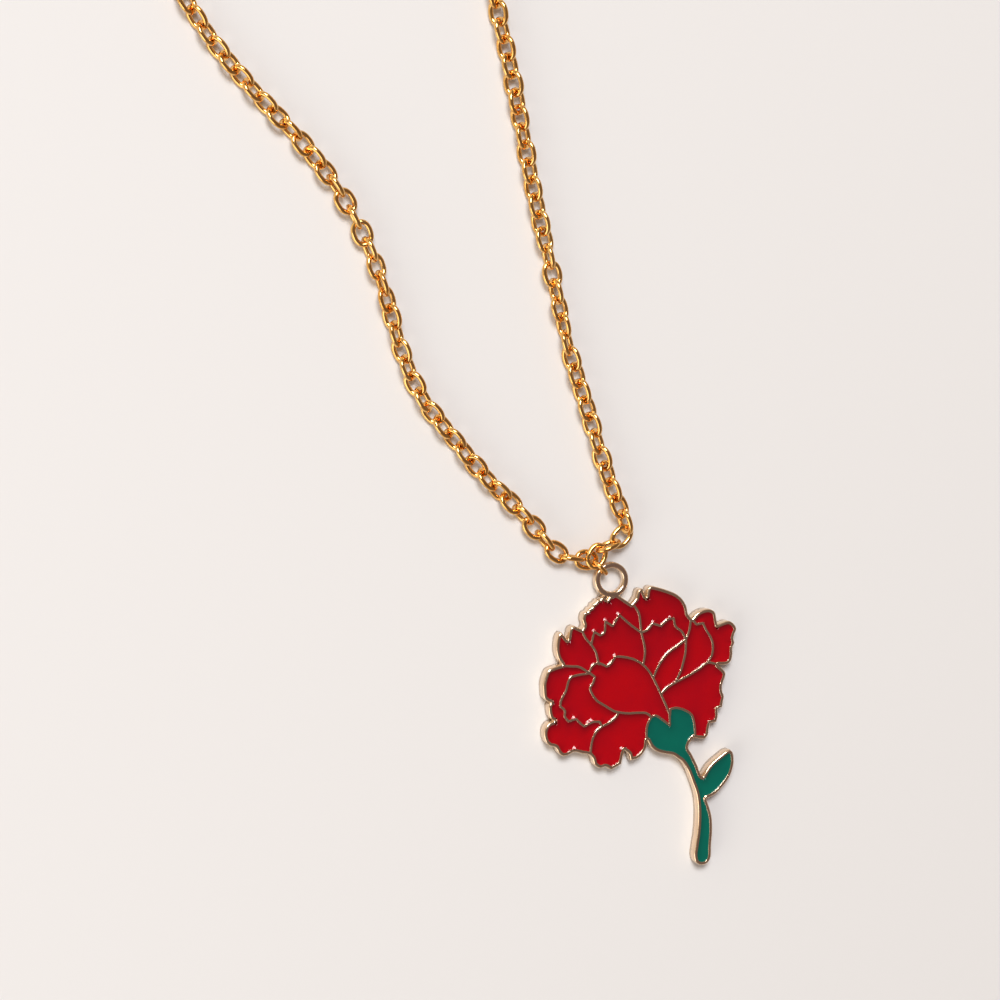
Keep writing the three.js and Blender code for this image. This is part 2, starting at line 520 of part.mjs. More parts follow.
// Clasp on the left run, extender on the right one
const claspEnd = addJumpRing(necklace, 'jump_ring_clasp', endOf(leftLinks), CLASP_RING_HEIGHT);
addClasp(necklace, claspEnd);
const extenderStart = addJumpRing(necklace, 'jump_ring_extender', endOf(rightLinks),
  EXTENDER_RING_HEIGHT);
const EXTENDER = { pitch: EXTENDER_PITCH, width: EXTENDER_WIDTH, wire: EXTENDER_WIRE };
const extenderFrom = extenderStart.at.clone().addScaledVector(extenderStart.along, -SLACK);
const extenderLinks = linksAlong(extenderFrom, EXTENDER_ROUTE, EXTENDER_TURN, EXTENDER_LINKS,
  EXTENDER_LINKS_PER_NODE, EXTENDER);
addChain(necklace, 'extender', extenderLinks, EXTENDER_TURN, EXTENDER_LINKS_PER_NODE, EXTENDER);
addDrop(necklace, endOf(extenderLinks));

export default necklace;
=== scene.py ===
"""A gold-tone cable necklace with an enamelled carnation charm, laid flat on a pale table.

Chain, rings, clasp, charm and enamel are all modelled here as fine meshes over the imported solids.
Lengths are in millimetres, with the origin on the charm's flat back, and become metres in `ship`.
"""
import math
import random

import bpy
import numpy as np
from mathutils import Matrix, Vector
from mathutils.geometry import delaunay_2d_cdt
from mathutils.kdtree import KDTree


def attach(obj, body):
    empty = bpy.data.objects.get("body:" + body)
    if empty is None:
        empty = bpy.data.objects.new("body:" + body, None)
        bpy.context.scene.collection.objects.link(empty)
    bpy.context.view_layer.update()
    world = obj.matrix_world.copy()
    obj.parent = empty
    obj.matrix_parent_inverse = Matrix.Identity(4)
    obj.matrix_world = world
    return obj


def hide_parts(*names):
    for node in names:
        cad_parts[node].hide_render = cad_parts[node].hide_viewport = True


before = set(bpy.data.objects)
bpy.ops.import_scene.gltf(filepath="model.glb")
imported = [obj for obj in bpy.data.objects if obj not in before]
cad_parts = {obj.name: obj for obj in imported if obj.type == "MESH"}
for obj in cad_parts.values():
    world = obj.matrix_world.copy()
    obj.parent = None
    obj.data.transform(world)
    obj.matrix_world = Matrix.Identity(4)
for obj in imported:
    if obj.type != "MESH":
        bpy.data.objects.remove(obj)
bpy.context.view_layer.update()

MM = 0.001
random.seed(7)

# ---- Sizes, in mm; SOLID_ marks a solid's size where the fine mesh has its own --------

CHARM_THICK = 1.5
POCKET_FLOOR = 0.85
RIM_WIDTH = 0.34
WALL_WIDTH = 0.24
RING_CENTRE = (-3.6, 10.6)
RING_OUTER = 1.81
RING_INNER = 1.21
RING_BOTTOM = 0.6
ENAMEL_LEVEL = 1.4

# Links of the two runs, of round wire; the solids' wire has three sides and is given by radius
LINK_PITCH = 1.76
LINK_LENGTH = 2.8
LINK_WIDTH = 2.16
LINK_WIRE = 0.52
SOLID_LINK_WIDTH = 2.14
SOLID_WIRE = 0.3
LINKS_EACH_SIDE = 102
LINKS_PER_NODE = 7

# How full a loop is: 2 for a circle or ellipse, more for a squarer one
ROUND_LOOP = 2.0
LINK_FULLNESS = 2.3
EXTENDER_FULLNESS = 2.1

# Links sink into each other within a node of the solids, and have some slack between nodes
SINK = 0.04
SLACK = 0.06

# Pieces lie a little off the table; from the hanger down, each link lies a step lower
LIFT = 0.02
DESCENT = 0.06

# How unevenly links lie: degrees about their length, degrees in their own plane, and mm along it
LINK_TWIST = 7.0
LINK_SWAY = 2.0
SIDESTEP = 0.01

# The hanger link stands on edge; the first links lie above and below each other, clear of the ring
HANGER_INNER_LENGTH = 1.5
HANGER_INNER_WIDTH = 1.5
HANGER_TO_RING = 0.46
HANGER_SHORTER = 0.12
HANGER_WIRE = 0.44
HANGER_ANGLE = -45
HANGER_FLAT = math.cos(math.pi / 8)
FIRST_LINK_STEP = 0.39
FIRST_LINK_PULL = 0.12
FIRST_LINK_LEAN = -12

# Jump rings, by the radius of their wire; round wire is a little slimmer than the solids' facets
JUMP_RING_OUTER = 2.1
JUMP_WIRE = 0.3
JUMP_SLIMMER = 0.92
JUMP_FLAT = math.cos(math.pi / 12)
JUMP_CUT = 0.06
JUMP_CUT_AT = 118
CLASP_RING_HEIGHT = 1.27
EXTENDER_RING_HEIGHT = 1.6

# The clasp: two cheeks and a hook, a lever in the slot between them, and the pin it turns on
CLASP_THICK = 1.8
CLASP_ROUND = 0.3
CLASP_GRID = 0.3
CLASP_LEDGE = 0.01
HOOK_INSET = 0.03
HOOK_ROUND = 0.5
SLOT_GAP = 0.12
LEVER_THICK = 0.7
LEVER_ROUND = 0.14
PIN_AT = (2.7, 0.7)
PIN_RADIUS = 0.3
PIN_GAP = 0.06
PIN_SIDES = 28

# The loop that the clasp and the drop are hung by
TAIL_RADIUS = 0.95
TAIL_WIRE = 0.3
TAIL_SLIMMER = 0.9

EXTENDER_WIDTH = 3.2
EXTENDER_NARROWER = 0.04
EXTENDER_PITCH = 2.9
SOLID_EXTENDER_WIRE = 0.42
EXTENDER_WIRE = 0.609
EXTENDER_LINKS = 16
EXTENDER_LINKS_PER_NODE = 8
DROP_RADIUS = 1.7

# Fineness of the meshes
LINE_STEP = 0.08
CORNER_ANGLE = 50
CROWDED = 0.016
CIRCLE_STEPS = 96
HOLE_STEPS = 32
POOL_STEPS = 20
ROUTE_STEPS = 200
JUMP_RING_STEPS = 72
TAIL_STEPS = 48
RING_WIRE_STEPS = 16
DROP_STEP = 0.2
DROP_SIDES = 40
NO_LENGTH = 1e-9
SAME_POINT = 1e-6

# ---- Listed lines, in mm ----------------

# Outer edge of flower, stem and leaf, clockwise from the ring's left foot
CHARM_OUTLINE = [
    (-5.15, 8.65), (-4.9, 8.66), (-4.65, 8.86), (-4.35, 8.8), (-4.1, 8.6), (-3.9, 8.88),
    (-3.6, 8.98), (-3.2, 9.2), (-2.7, 8.9), (-2.1, 8.5),
    (-1.5, 8.1), (-1.3, 8.3), (-1.0, 8.7), (-0.9, 9.1), (-0.7, 9.5), (-0.3, 9.6), (0.1, 8.7),
    (0.3, 9.6), (0.6, 9.8), (1.6, 9.6), (2.5, 9.3), (3.4, 8.9), (4.1, 8.3), (4.5, 7.6),
    (4.7, 6.8), (5.1, 6.3), (5.7, 6.9), (6.5, 7.2), (7.1, 7.2), (7.6, 6.9), (7.8, 6.2),
    (7.9, 5.6), (8.5, 5.8), (9.2, 5.9), (9.8, 5.5), (10.0, 5.0), (9.8, 4.5), (9.7, 4.1),
    (9.8, 3.6), (9.6, 3.1), (9.6, 2.4), (9.4, 1.7), (8.9, 1.4), (8.0, 1.4), (8.5, 1.0),
    (8.85, 0.5), (8.75, 0.0), (8.5, -0.7), (8.5, -1.3), (8.7, -1.9), (8.6, -2.4), (8.5, -3.0),
    (8.02, -3.15), (8.02, -4.0), (7.85, -4.5), (7.18, -4.6), (7.05, -5.2), (6.95, -5.8),
    (6.6, -6.17), (6.0, -6.12), (5.35, -6.0), (4.92, -6.55), (4.8, -7.0), (5.2, -7.7),
    (5.8, -8.9), (6.2, -9.9), (6.4, -10.1), (6.8, -9.4), (7.4, -8.7), (8.4, -7.95),
    (9.0, -7.55), (9.4, -7.45),
    (9.7, -7.75), (9.83, -8.5), (9.75, -9.3), (9.4, -10.25), (8.8, -11.05), (8.0, -11.85),
    (7.3, -12.25), (6.8, -12.4), (7.0, -12.9), (7.4, -14.2),
    (7.5, -15.7), (7.4, -17.2), (7.3, -18.7), (6.9, -19.2), (6.2, -19.3), (5.7, -19.0),
    (5.5, -18.3), (5.6, -17.4), (5.8, -16.1), (5.9, -14.9), (5.9, -13.4), (5.7, -11.9),
    (5.2, -10.5), (4.7, -9.3), (4.1, -8.4), (3.7, -8.1), (3.1, -7.7), (2.2, -7.5), (1.3, -7.2),
    (0.7, -6.7), (0.3, -6.0), (0.2, -6.8), (-0.2, -7.4), (-0.7, -7.8), (-1.5, -8.0),
    (-1.7, -7.3), (-2.2, -6.9), (-2.5, -8.3), (-3.1, -8.6), (-3.6, -8.8), (-4.2, -8.5),
    (-4.8, -8.6), (-5.4, -8.2), (-5.6, -7.6), (-5.9, -7.2), (-6.7, -7.0), (-7.6, -6.8),
    (-8.3, -7.1), (-8.9, -7.1), (-9.3, -6.7), (-9.6, -6.2), (-10.2, -6.0), (-10.6, -5.6),
    (-10.8, -4.9), (-10.7, -4.2), (-10.3, -3.7), (-9.7, -3.5), (-10.1, -3.2), (-10.3, -2.5),
    (-10.3, -1.9), (-10.1, -1.6), (-10.4, -1.5), (-10.8, -1.1), (-10.9, -0.3), (-10.9, 0.4),
    (-10.7, 1.1), (-10.4, 1.7), (-9.7, 2.0), (-8.9, 2.2), (-9.3, 2.8), (-9.5, 3.5),
    (-9.5, 4.3), (-9.3, 5.2), (-9.0, 5.5), (-8.3, 4.7), (-8.0, 5.9), (-7.6, 6.1), (-6.8, 5.7),
    (-6.6, 6.1), (-6.74, 6.6), (-6.68, 7.1), (-6.5, 7.42), (-6.2, 7.52), (-6.02, 7.8),
    (-5.75, 7.92), (-5.62, 8.22), (-5.35, 8.38),
]

# Middle lines of the thin walls between the enamel cells
WALLS = [
    [(-1.5, 8.3), (-0.7, 7.1), (-0.5, 5.9), (-0.4, 5.1), (-0.1, 3.9), (0.0, 3.1), (-0.2, 1.8)],
    [(-5.8, 4.1), (-5.5, 5.4), (-4.8, 5.0), (-4.4, 5.3), (-4.3, 6.4), (-3.5, 5.9), (-2.8, 7.0),
     (-1.5, 5.9), (-0.4, 5.1)],
    [(-6.9, 5.9), (-6.4, 4.8), (-5.8, 4.1), (-5.3, 3.3), (-5.0, 2.1)],
    [(-6.0, 1.3), (-5.7, 1.9), (-5.1, 2.2), (-4.1, 1.8), (-3.7, 2.1), (-3.2, 2.8), (-2.3, 2.7),
     (-1.2, 2.4), (-0.2, 1.8), (0.6, 0.9), (1.0, 0.2), (1.7, -1.2), (2.4, -2.7), (2.75, -3.5)],
    [(-9.0, 2.1), (-8.0, 2.0), (-7.1, 1.9), (-6.4, 1.5), (-5.9, 1.2)],
    [(-5.9, 1.2), (-7.0, 1.1), (-7.9, 0.9), (-8.2, 0.5), (-8.5, -0.5), (-9.0, -1.4),
     (-9.1, -2.0), (-8.6, -2.5), (-8.6, -3.1), (-8.2, -3.6), (-7.4, -3.4), (-6.9, -3.9),
     (-6.5, -4.2), (-5.6, -3.8), (-4.9, -3.8), (-4.6, -4.3)],
    [(-5.9, 1.2), (-5.4, 0.8), (-5.6, 0.2), (-5.9, -0.3), (-5.7, -0.9), (-5.2, -1.6),
     (-4.3, -2.2), (-3.3, -2.8), (-2.8, -2.95), (-1.8, -3.1), (-0.8, -3.1), (0.2, -3.2),
     (0.7, -3.6)],
    [(-2.8, -2.95), (-3.2, -3.5), (-3.9, -4.0), (-4.6, -4.3), (-5.2, -4.8), (-5.6, -5.5),
     (-5.8, -6.5), (-5.8, -7.2)],
    [(0.7, -3.6), (0.3, -4.4), (0.2, -5.2), (0.3, -6.2)],
    [(-0.4, 5.1), (0.3, 5.4), (0.8, 6.0), (1.7, 5.7), (2.6, 6.4), (3.1, 6.4), (3.3, 5.6),
     (4.0, 5.0), (4.45, 4.2)],
    [(5.0, 6.4), (4.8, 5.1), (4.45, 4.2)],
    [(4.45, 4.2), (3.4, 3.5), (2.5, 2.9), (1.8, 2.1), (1.3, 1.3), (0.95, 0.5)],
    [(4.45, 4.2), (4.4, 2.9), (4.2, 2.0), (3.9, 1.0), (3.3, -0.2)],
    [(5.05, 6.3), (5.6, 5.7), (6.3, 5.8), (6.7, 5.0), (7.2, 4.2), (7.4, 3.4), (7.3, 2.5),
     (6.9, 1.8)],
    [(8.2, 1.35), (6.9, 1.7), (5.9, 1.1), (4.8, 0.5), (3.9, 0.1), (2.9, -0.4), (2.4, -0.7),
     (1.75, -1.3)],
    [(2.75, -3.5), (2.8, -2.9), (3.4, -2.8), (4.4, -3.1), (5.1, -3.6), (5.4, -4.5), (5.5, -5.3),
     (5.5, -6.3)],
    [(0.7, -3.6), (1.2, -3.5), (2.0, -4.0), (2.75, -4.6), (2.7, -3.4)],
]

# One point inside each cell of red and of green enamel
CELLS = {
    "enamel_red": {
        "petal_top_left": (-3.0, 7.9),
        "petal_top_left_inner": (-3.0, 4.2),
        "petal_top_right": (1.6, 7.8),
        "petal_top_right_inner": (1.6, 4.2),
        "petal_centre_right": (2.8, 1.6),
        "petal_right_inner": (5.6, 3.2),
        "petal_right_outer": (8.4, 3.6),
        "petal_lower_right": (5.8, -1.6),
        "petal_upper_left": (-7.6, 3.7),
        "petal_left_outer": (-9.5, -0.3),
        "petal_left_inner": (-6.9, -1.2),
        "petal_centre": (-2.0, 0.0),
        "petal_bottom": (-2.6, -5.2),
    },
    "enamel_green": {
        "calyx_stem_leaf": (3.0, -5.8),
    },
}

# Where the runs lie, from the hanger on, and then the extender
LEFT_ROUTE = [
    (-7.3, 12.9), (-9.2, 13.3), (-11.3, 15.6), (-13.4, 18.0), (-16.9, 21.4), (-20.0, 25.1),
    (-23.3, 29.2), (-25.4, 33.8), (-26.8, 38.5), (-28.4, 43.2), (-31.3, 48.9), (-35.2, 54.0),
    (-39.6, 58.6), (-43.4, 62.9), (-46.4, 67.2), (-52, 77), (-57, 89), (-60, 102),
    (-60.5, 115), (-58, 128), (-52, 140), (-43, 150), (-32, 157), (-20, 161), (-8, 163),
]

RIGHT_ROUTE = [
    (-4.9, 13.7), (-3.5, 14.3), (-2.1, 15.0), (-2.0, 16.5), (-2.8, 17.9), (-4.9, 23.9),
    (-5.9, 27.2), (-8.0, 33.6), (-9.3, 38.8), (-10.4, 43.6), (-11.8, 49.5), (-13.1, 56.0),
    (-14.4, 62.4), (-15.7, 68.0), (-16.4, 76), (-15, 88), (-11, 100), (-5, 111), (2, 122),
    (8, 134), (10.5, 147), (9, 160), (3, 171), (-6, 178), (-17, 181), (-28, 181),
]

EXTENDER_ROUTE = [
    (-9.5, 180.3), (-16, 182.5), (-24, 182), (-31, 178), (-37.5, 172.5), (-45, 169.5),
    (-53, 170), (-61, 173),
]

# How far links are turned about their length: distance from the start in mm, and degrees
LEFT_TURN = [
    (0, 0), (7, 8), (13, 40), (32, 42), (38, 12), (46, -4), (52, 30), (60, 42), (170, 46),
    (177, 0),
]

RIGHT_TURN = [
    (0, 0), (3.5, 4), (6, 20), (10, 37), (24, 37), (29, 12), (33, 6), (37, 34),
    (60, 38), (170, 46), (177, 0),
]

EXTENDER_TURN = [(0, 90), (8, 50), (40, 45), (46, 90)]

# The clasp from above, from its tail on, as one of its cheeks has it
CLASP_OUTLINE = [
    (0.9, -0.8), (2.2, -1.5), (4, -2.2), (6, -2.5), (7.8, -2.3), (9.1, -1.4), (9.6, -0.2),
    (9.3, 1.0), (8.4, 1.8), (7.4, 2.0), (7.4, 1.4), (8.0, 0.9), (8.4, 0.1), (8.1, -0.8),
    (7.2, -1.3), (6.0, -1.5), (4.8, -1.3), (4.0, -0.7), (3.7, 0.2), (3.5, 1.0), (2.7, 1.5),
    (1.8, 1.4), (0.9, 0.8),
]

LEVER_OUTLINE = [
    (2.0, 0.7), (2.2, 0.2), (2.7, 0.0), (3.2, 0.25), (3.6, 0.75), (4.6, 1.15), (5.8, 1.3),
    (7.0, 1.25), (7.1, 1.9), (5.8, 2.1), (4.8, 2.05), (4.2, 2.2), (3.9, 2.8), (3.3, 2.95),
    (3.1, 2.4), (2.9, 1.8), (2.3, 1.35),
]

# The clasp's hook and back, one casting with its two cheeks
CLASP_HOOK = [
    (4.6, -1.9), (6, -2.45), (7.8, -2.25), (9.1, -1.4), (9.55, -0.2), (9.25, 1.0), (8.4, 1.75),
    (7.4, 1.95), (7.4, 1.45), (8.0, 0.9), (8.4, 0.1), (8.1, -0.8), (7.2, -1.3), (6.0, -1.5),
    (5.2, -1.4),
]

# Profiles of turned pieces, as radius and height on the axis: a rivet's end, and the drop
RIVET_END = [(0, -0.03), (0.18, -0.03), (0.28, 0.02), (PIN_RADIUS, 0.1)]

DROP_PROFILE = [
    (0, 0.8), (0.3, 0.82), (0.45, 1.0), (0.5, 1.3), (0.8, 2.2), (1.35, 3.6), (DROP_RADIUS, 4.9),
    (1.45, 6.0), (0.8, 6.5), (0, 6.6),
]


# ---- Lines in the plane --------

def is_corner(before, at, after):
    """Whether a line turns sharply at a point."""
    return math.degrees((at - before).angle(after - at)) > CORNER_ANGLE


def bend(p0, p1, p2, p3, t):
    """A point between p1 and p2 on the centripetal curve through four points."""
    gaps = [max((b - a).length, NO_LENGTH) ** 0.5 for a, b in ((p0, p1), (p1, p2), (p2, p3))]
    t1 = ((p1 - p0) / gaps[0] - (p2 - p0) / (gaps[0] + gaps[1]) + (p2 - p1) / gaps[1]) * gaps[1]
    t2 = ((p2 - p1) / gaps[1] - (p3 - p1) / (gaps[1] + gaps[2]) + (p3 - p2) / gaps[2]) * gaps[1]
    return (p1 + t1 * t + (3 * (p2 - p1) - 2 * t1 - t2) * t ** 2
            + (2 * (p1 - p2) + t1 + t2) * t ** 3)


def smooth_line(points, closed=False, step=LINE_STEP):
    """Fine steps along listed points: bends come out round and sharp points stay sharp."""
    at = [Vector(p) for p in points]
    count = len(at)
    fine = []
    for i in range(count if closed else count - 1):
        p1, p2 = at[i], at[(i + 1) % count]
        p0, p3 = at[i - 1], at[(i + 2) % count]
        if (not closed and i == 0) or is_corner(p0, p1, p2):
            p0 = 2 * p1 - p2
        if (not closed and i == count - 2) or is_corner(p1, p2, p3):
            p3 = 2 * p2 - p1
        steps = max(2, round((p2 - p1).length / step))
        fine += [bend(p0, p1, p2, p3, k / steps) for k in range(steps)]
    if not closed:
        fine.append(at[-1])
    return np.array([tuple(p) for p in fine])


def circle(centre, radius, steps=CIRCLE_STEPS):
    turns = np.arange(steps) * 2 * math.pi / steps
    return np.stack([centre[0] + radius * np.cos(turns), centre[1] + radius * np.sin(turns)], 1)


class Lines:
    """Fine lines together, to measure how far points are from the nearest of them."""

    def __init__(self, lines, closed):
        self.at = np.concatenate(lines)
        before, after, first = [], [], 0
        for line in lines:
            index = np.arange(first, first + len(line))
            before.append(np.roll(index, 1))
            after.append(np.roll(index, -1))
            if not closed:
                before[-1][0], after[-1][-1] = index[0], index[-1]
            first += len(line)
        self.before, self.after = np.concatenate(before), np.concatenate(after)
        self.tree = KDTree(len(self.at))
        for i, (x, y) in enumerate(self.at):
            self.tree.insert((x, y, 0), i)
        self.tree.balance()

    def distance(self, points):
        near = np.array([self.tree.find((x, y, 0))[1] for x, y in points], int)
        best = np.full(len(points), np.inf)
        for other in (self.before[near], self.after[near]):
            start, way = self.at[near], self.at[other] - self.at[near]
            size = np.maximum((way ** 2).sum(1), NO_LENGTH)
            part = np.clip(((points - start) * way).sum(1) / size, 0, 1)
            best = np.minimum(best, np.linalg.norm(points - start - way * part[:, None], axis=1))
        return best


def beside(line, closed, offsets):
    """Rows of points beside a line: a positive offset lies to the left of its direction."""
    if closed:
        way = np.roll(line, -1, 0) - np.roll(line, 1, 0)
    else:
        way = np.gradient(line, axis=0)
    way /= np.maximum(np.linalg.norm(way, axis=1), NO_LENGTH)[:, None]
    left = np.stack([-way[:, 1], way[:, 0]], 1)
    return np.concatenate([line + left * offset for offset in offsets])


def inside(points, loop):
    """Which points lie inside a closed line."""
    x, y = points.T
    found = np.zeros(len(points), bool)
    for (ax, ay), (bx, by) in zip(loop, np.roll(loop, -1, 0)):
        if ay != by:
            crosses = (ay > y) != (by > y)
            found ^= crosses & (x < (bx - ax) * (y - ay) / (by - ay) + ax)
    return found


def thinned(points, spacing):
    """Of points that crowd one small square, only the first stays."""
    _, first = np.unique(np.floor(points / spacing).astype(int), axis=0, return_index=True)
    return points[np.sort(first)]


def triangulated(shapes, holes, extra=()):
    """Triangles that fill the joined shapes and leave the holes free."""
    spots, faces = [], []
    for line in [*shapes, *holes]:
        faces.append(list(range(len(spots), len(spots) + len(line))))
        spots += [Vector(p) for p in line]
    spots += [Vector(p) for p in extra]
    found, _, triangles, _, _, owners = delaunay_2d_cdt(spots, [], faces, 1, SAME_POINT)
    hollow = set(range(len(shapes), len(faces)))
    kept = [t for t, owner in zip(triangles, owners) if not hollow & set(owner)]
    return np.array([tuple(p) for p in found]), np.array(kept)


def border_edges(triangles):
    """The edges that only one triangle has, each with the net on its left."""
    edges = {(t[i], t[(i + 1) % 3]) for t in triangles.tolist() for i in range(3)}
    return sorted((a, b) for a, b in edges if (b, a) not in edges)


def border_loops(triangles):
    """The closed lines round a flat net of triangles, with the net on their left."""
    following = dict(border_edges(triangles))
    loops = []
    while following:
        start, at = following.popitem()
        loop = [start]
        while at != start:
            loop.append(at)
            at = following.pop(at)
        loops.append(loop)
    return sorted(loops, key=len, reverse=True)


# ---- Meshes --------

def in_scene(name, data):
    """A new object that shows in the scene."""
    thing = bpy.data.objects.new(name, data)
    bpy.context.scene.collection.objects.link(thing)
    return thing


class Body:
    """Points and faces of a piece, gathered from its parts."""

    def __init__(self):
        self.points, self.faces = [], []

    def add(self, points, faces):
        first = len(self.points)
        self.points += [tuple(map(float, p)) for p in points]
        self.faces += [tuple(first + int(i) for i in face) for face in faces]

    def ship(self, name, body, material, nodes):
        """Makes the object, in metres, on its CAD body and in place of its CAD nodes."""
        mesh = bpy.data.meshes.new(name)
        mesh.from_pydata([tuple(c * MM for c in p) for p in self.points], [], self.faces)
        mesh.validate()
        mesh.shade_smooth()
        mesh.materials.append(material)
        piece = in_scene(name, mesh)
        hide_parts(*nodes)
        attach(piece, body)
        return piece

    def ship_gold(self, name, node, body="necklace"):
        """The same for a piece of the chain or its fittings, on the necklace's body as a rule."""
        self.ship(name, body, CHAIN_GOLD, [node])


# The free strip along an edge, as a share of the distance to the first row of points
EDGE_FREE = 0.6


def roll(distance, radius, drop):
    """How far a rounded edge falls off, at a distance from it."""
    part = np.clip((radius - distance) / radius, 0, 1)
    return drop * (1 - np.sqrt(1 - part ** 2))


class Plate:
    """A flat shape as a net of fine triangles, dense beside its edges and along given rows."""

    def __init__(self, shapes, holes, edge_rows, rows, grid):
        flat, triangles = triangulated(shapes, holes)
        loops = [flat[loop] for loop in border_loops(triangles)]
        self.edge = Lines(loops, True)
        low, high = flat.min(0), flat.max(0)
        across = [np.arange(low[i], high[i], grid) for i in (0, 1)]
        free = np.stack([a.ravel() for a in np.meshgrid(*across)], 1)
        near = [beside(loop, True, edge_rows) for loop in loops]
        extra = thinned(np.concatenate([*near, *rows, free]), CROWDED)
        depth = self.edge.distance(extra)
        wanted = inside(extra, loops[0]) & (depth > EDGE_FREE * min(edge_rows))
        for loop in loops[1:]:
            wanted &= ~inside(extra, loop)
        holes = [loop[::-1] for loop in loops[1:]]
        self.flat, self.triangles = triangulated(loops[:1], holes, extra[wanted])
        self.loops = border_loops(self.triangles)
        self.depth = self.edge.distance(self.flat)
        self.depth[np.concatenate(self.loops)] = 0

    def raise_to(self, body, top, bottom, ledge=0.03):
        """Adds the closed solid between two heights, with upright sides."""
        count = len(self.flat)
        points = [np.column_stack([self.flat, top]), np.column_stack([self.flat, bottom])]
        faces = [*self.triangles.tolist(), *(self.triangles[:, ::-1] + count).tolist()]
        first = 2 * count
        for loop in self.loops:
            high, low = top[loop], bottom[loop]
            levels = [loop, None, None, [count + i for i in loop]]
            for level, height in ((1, high - ledge), (2, low + ledge)):
                levels[level] = list(range(first, first + len(loop)))
                points.append(np.column_stack([self.flat[loop], height]))
                first += len(loop)
            for upper, lower in zip(levels, levels[1:]):
                for i in range(len(loop)):
                    j = (i + 1) % len(loop)
                    faces.append((upper[i], lower[i], lower[j], upper[j]))
        body.add(np.concatenate(points), faces)


def part_of(triangles, chosen):
    """The triangles whose corners are all chosen, in groups that hang together."""
    kept = triangles[chosen[triangles].all(1)]
    owner = {}

    def root(i):
        while owner.setdefault(i, i) != i:
            owner[i] = owner[owner[i]]
            i = owner[i]
        return i

    for a, b, c in kept.tolist():
        owner[root(b)] = root(a)
        owner[root(c)] = root(a)
    groups = {}
    for triangle in kept.tolist():
        groups.setdefault(root(triangle[0]), []).append(triangle)
    return [np.array(group) for group in groups.values()]


# ---- Charm --------

# The foot that joins the ring to the petals, with hollow sides
NECK_OUTLINE = [
    (-4.75, 9.3), (-4.45, 9.05), (-4.5, 8.7), (-3.6, 8.3), (-2.7, 8.6), (-2.7, 9.0),
    (-2.45, 9.3), (-3.6, 9.2),
]

# Rows of points beside the outer edge, the rim's inner edge and the walls' middle lines
EDGE_ROWS = (0.018, 0.04, 0.07, 0.105, 0.15, 0.2, 0.26, 0.33)
RIM_ROWS = (0.24, 0.27, 0.295, 0.315, 0.33, 0.345, 0.37, 0.41, 0.48, 0.58, 0.75)
WALL_ROWS = (0, 0.03, 0.055, 0.08, 0.1, 0.12, 0.135, 0.16, 0.2, 0.25, 0.31, 0.42)
GRID = 0.22

# How far the metal's edges are rounded, and how far they drop there
EDGE_ROUND = 0.15
RIM_ROUND = 0.22
RIM_DROP = 0.16
RING_ROUND = 0.29
RING_DROP = 0.2
NECK_DROP = 0.3
WALL_ROUND = 0.12
WALL_CROWN = 0.03
POCKET_DRAFT = 0.02
FOOT_ROUND = 0.07

# The enamel runs a little under the metal's edge, creeps up it, and sags between
HIDDEN_EDGE = 0.035
MENISCUS_RISE = 0.078
MENISCUS_REACH = 0.14
ENAMEL_SAG = 0.03
SAG_REACH = 0.9

# Small pools stand higher, each steeper on the side away from where it faces
POOL_RISE = 0.16
POOL_FACES = (-0.673, 0.739)
POOL_SLOPE = 0.41
POOL_BACK_SLOPE = 0.8
POOL_ACROSS = 1.3
POOL_ROWS = (0.04, 0.09, 0.14, 0.19, 0.24, 0.29, 0.34, 0.4)

# Where those pools are, by the peaks of the walls
POOLED_AT = [
    (-5.44, 5.36), (-4.24, 6.42), (-2.82, 7.0), (0.92, 6.02), (2.78, 6.45), (-3.2, 2.78),
    (-5.72, -3.76), (-6.02, -3.94), (-7.56, -3.38), (-7.5, -6.5), (-2.42, -6.8), (7.2, -4.45),
    (7.8, -4.4),
]

# Painted shade on the enamel's colour: a painted shadow below each wall on its upper side, and
# darker towards the top
SHADOWING_WALL_SIDE = (-0.28, 0.96)
SHADOW_PROBE_STEP = 0.08
SHADOW_REACH = 0.45
TOP_SHADE_FROM_Y = 2.0
TOP_SHADE_UP_TO_Y = 9.0
TOP_SHADE_MOST = 0.3


def both_ways(rows):
    """The rows on both sides of a line."""
    return [side * row for side in (1, -1) for row in rows]


def past_metal(points, petals, walls):
    """How far points lie inside the petals' outline, and past the metal's edge onto the enamel."""
    rim = Lines([petals], True).distance(points)
    rim = np.where(inside(points, petals), rim, -rim)
    wall = Lines(walls, False).distance(points)
    return rim, np.minimum(rim - RIM_WIDTH, wall - WALL_WIDTH / 2)


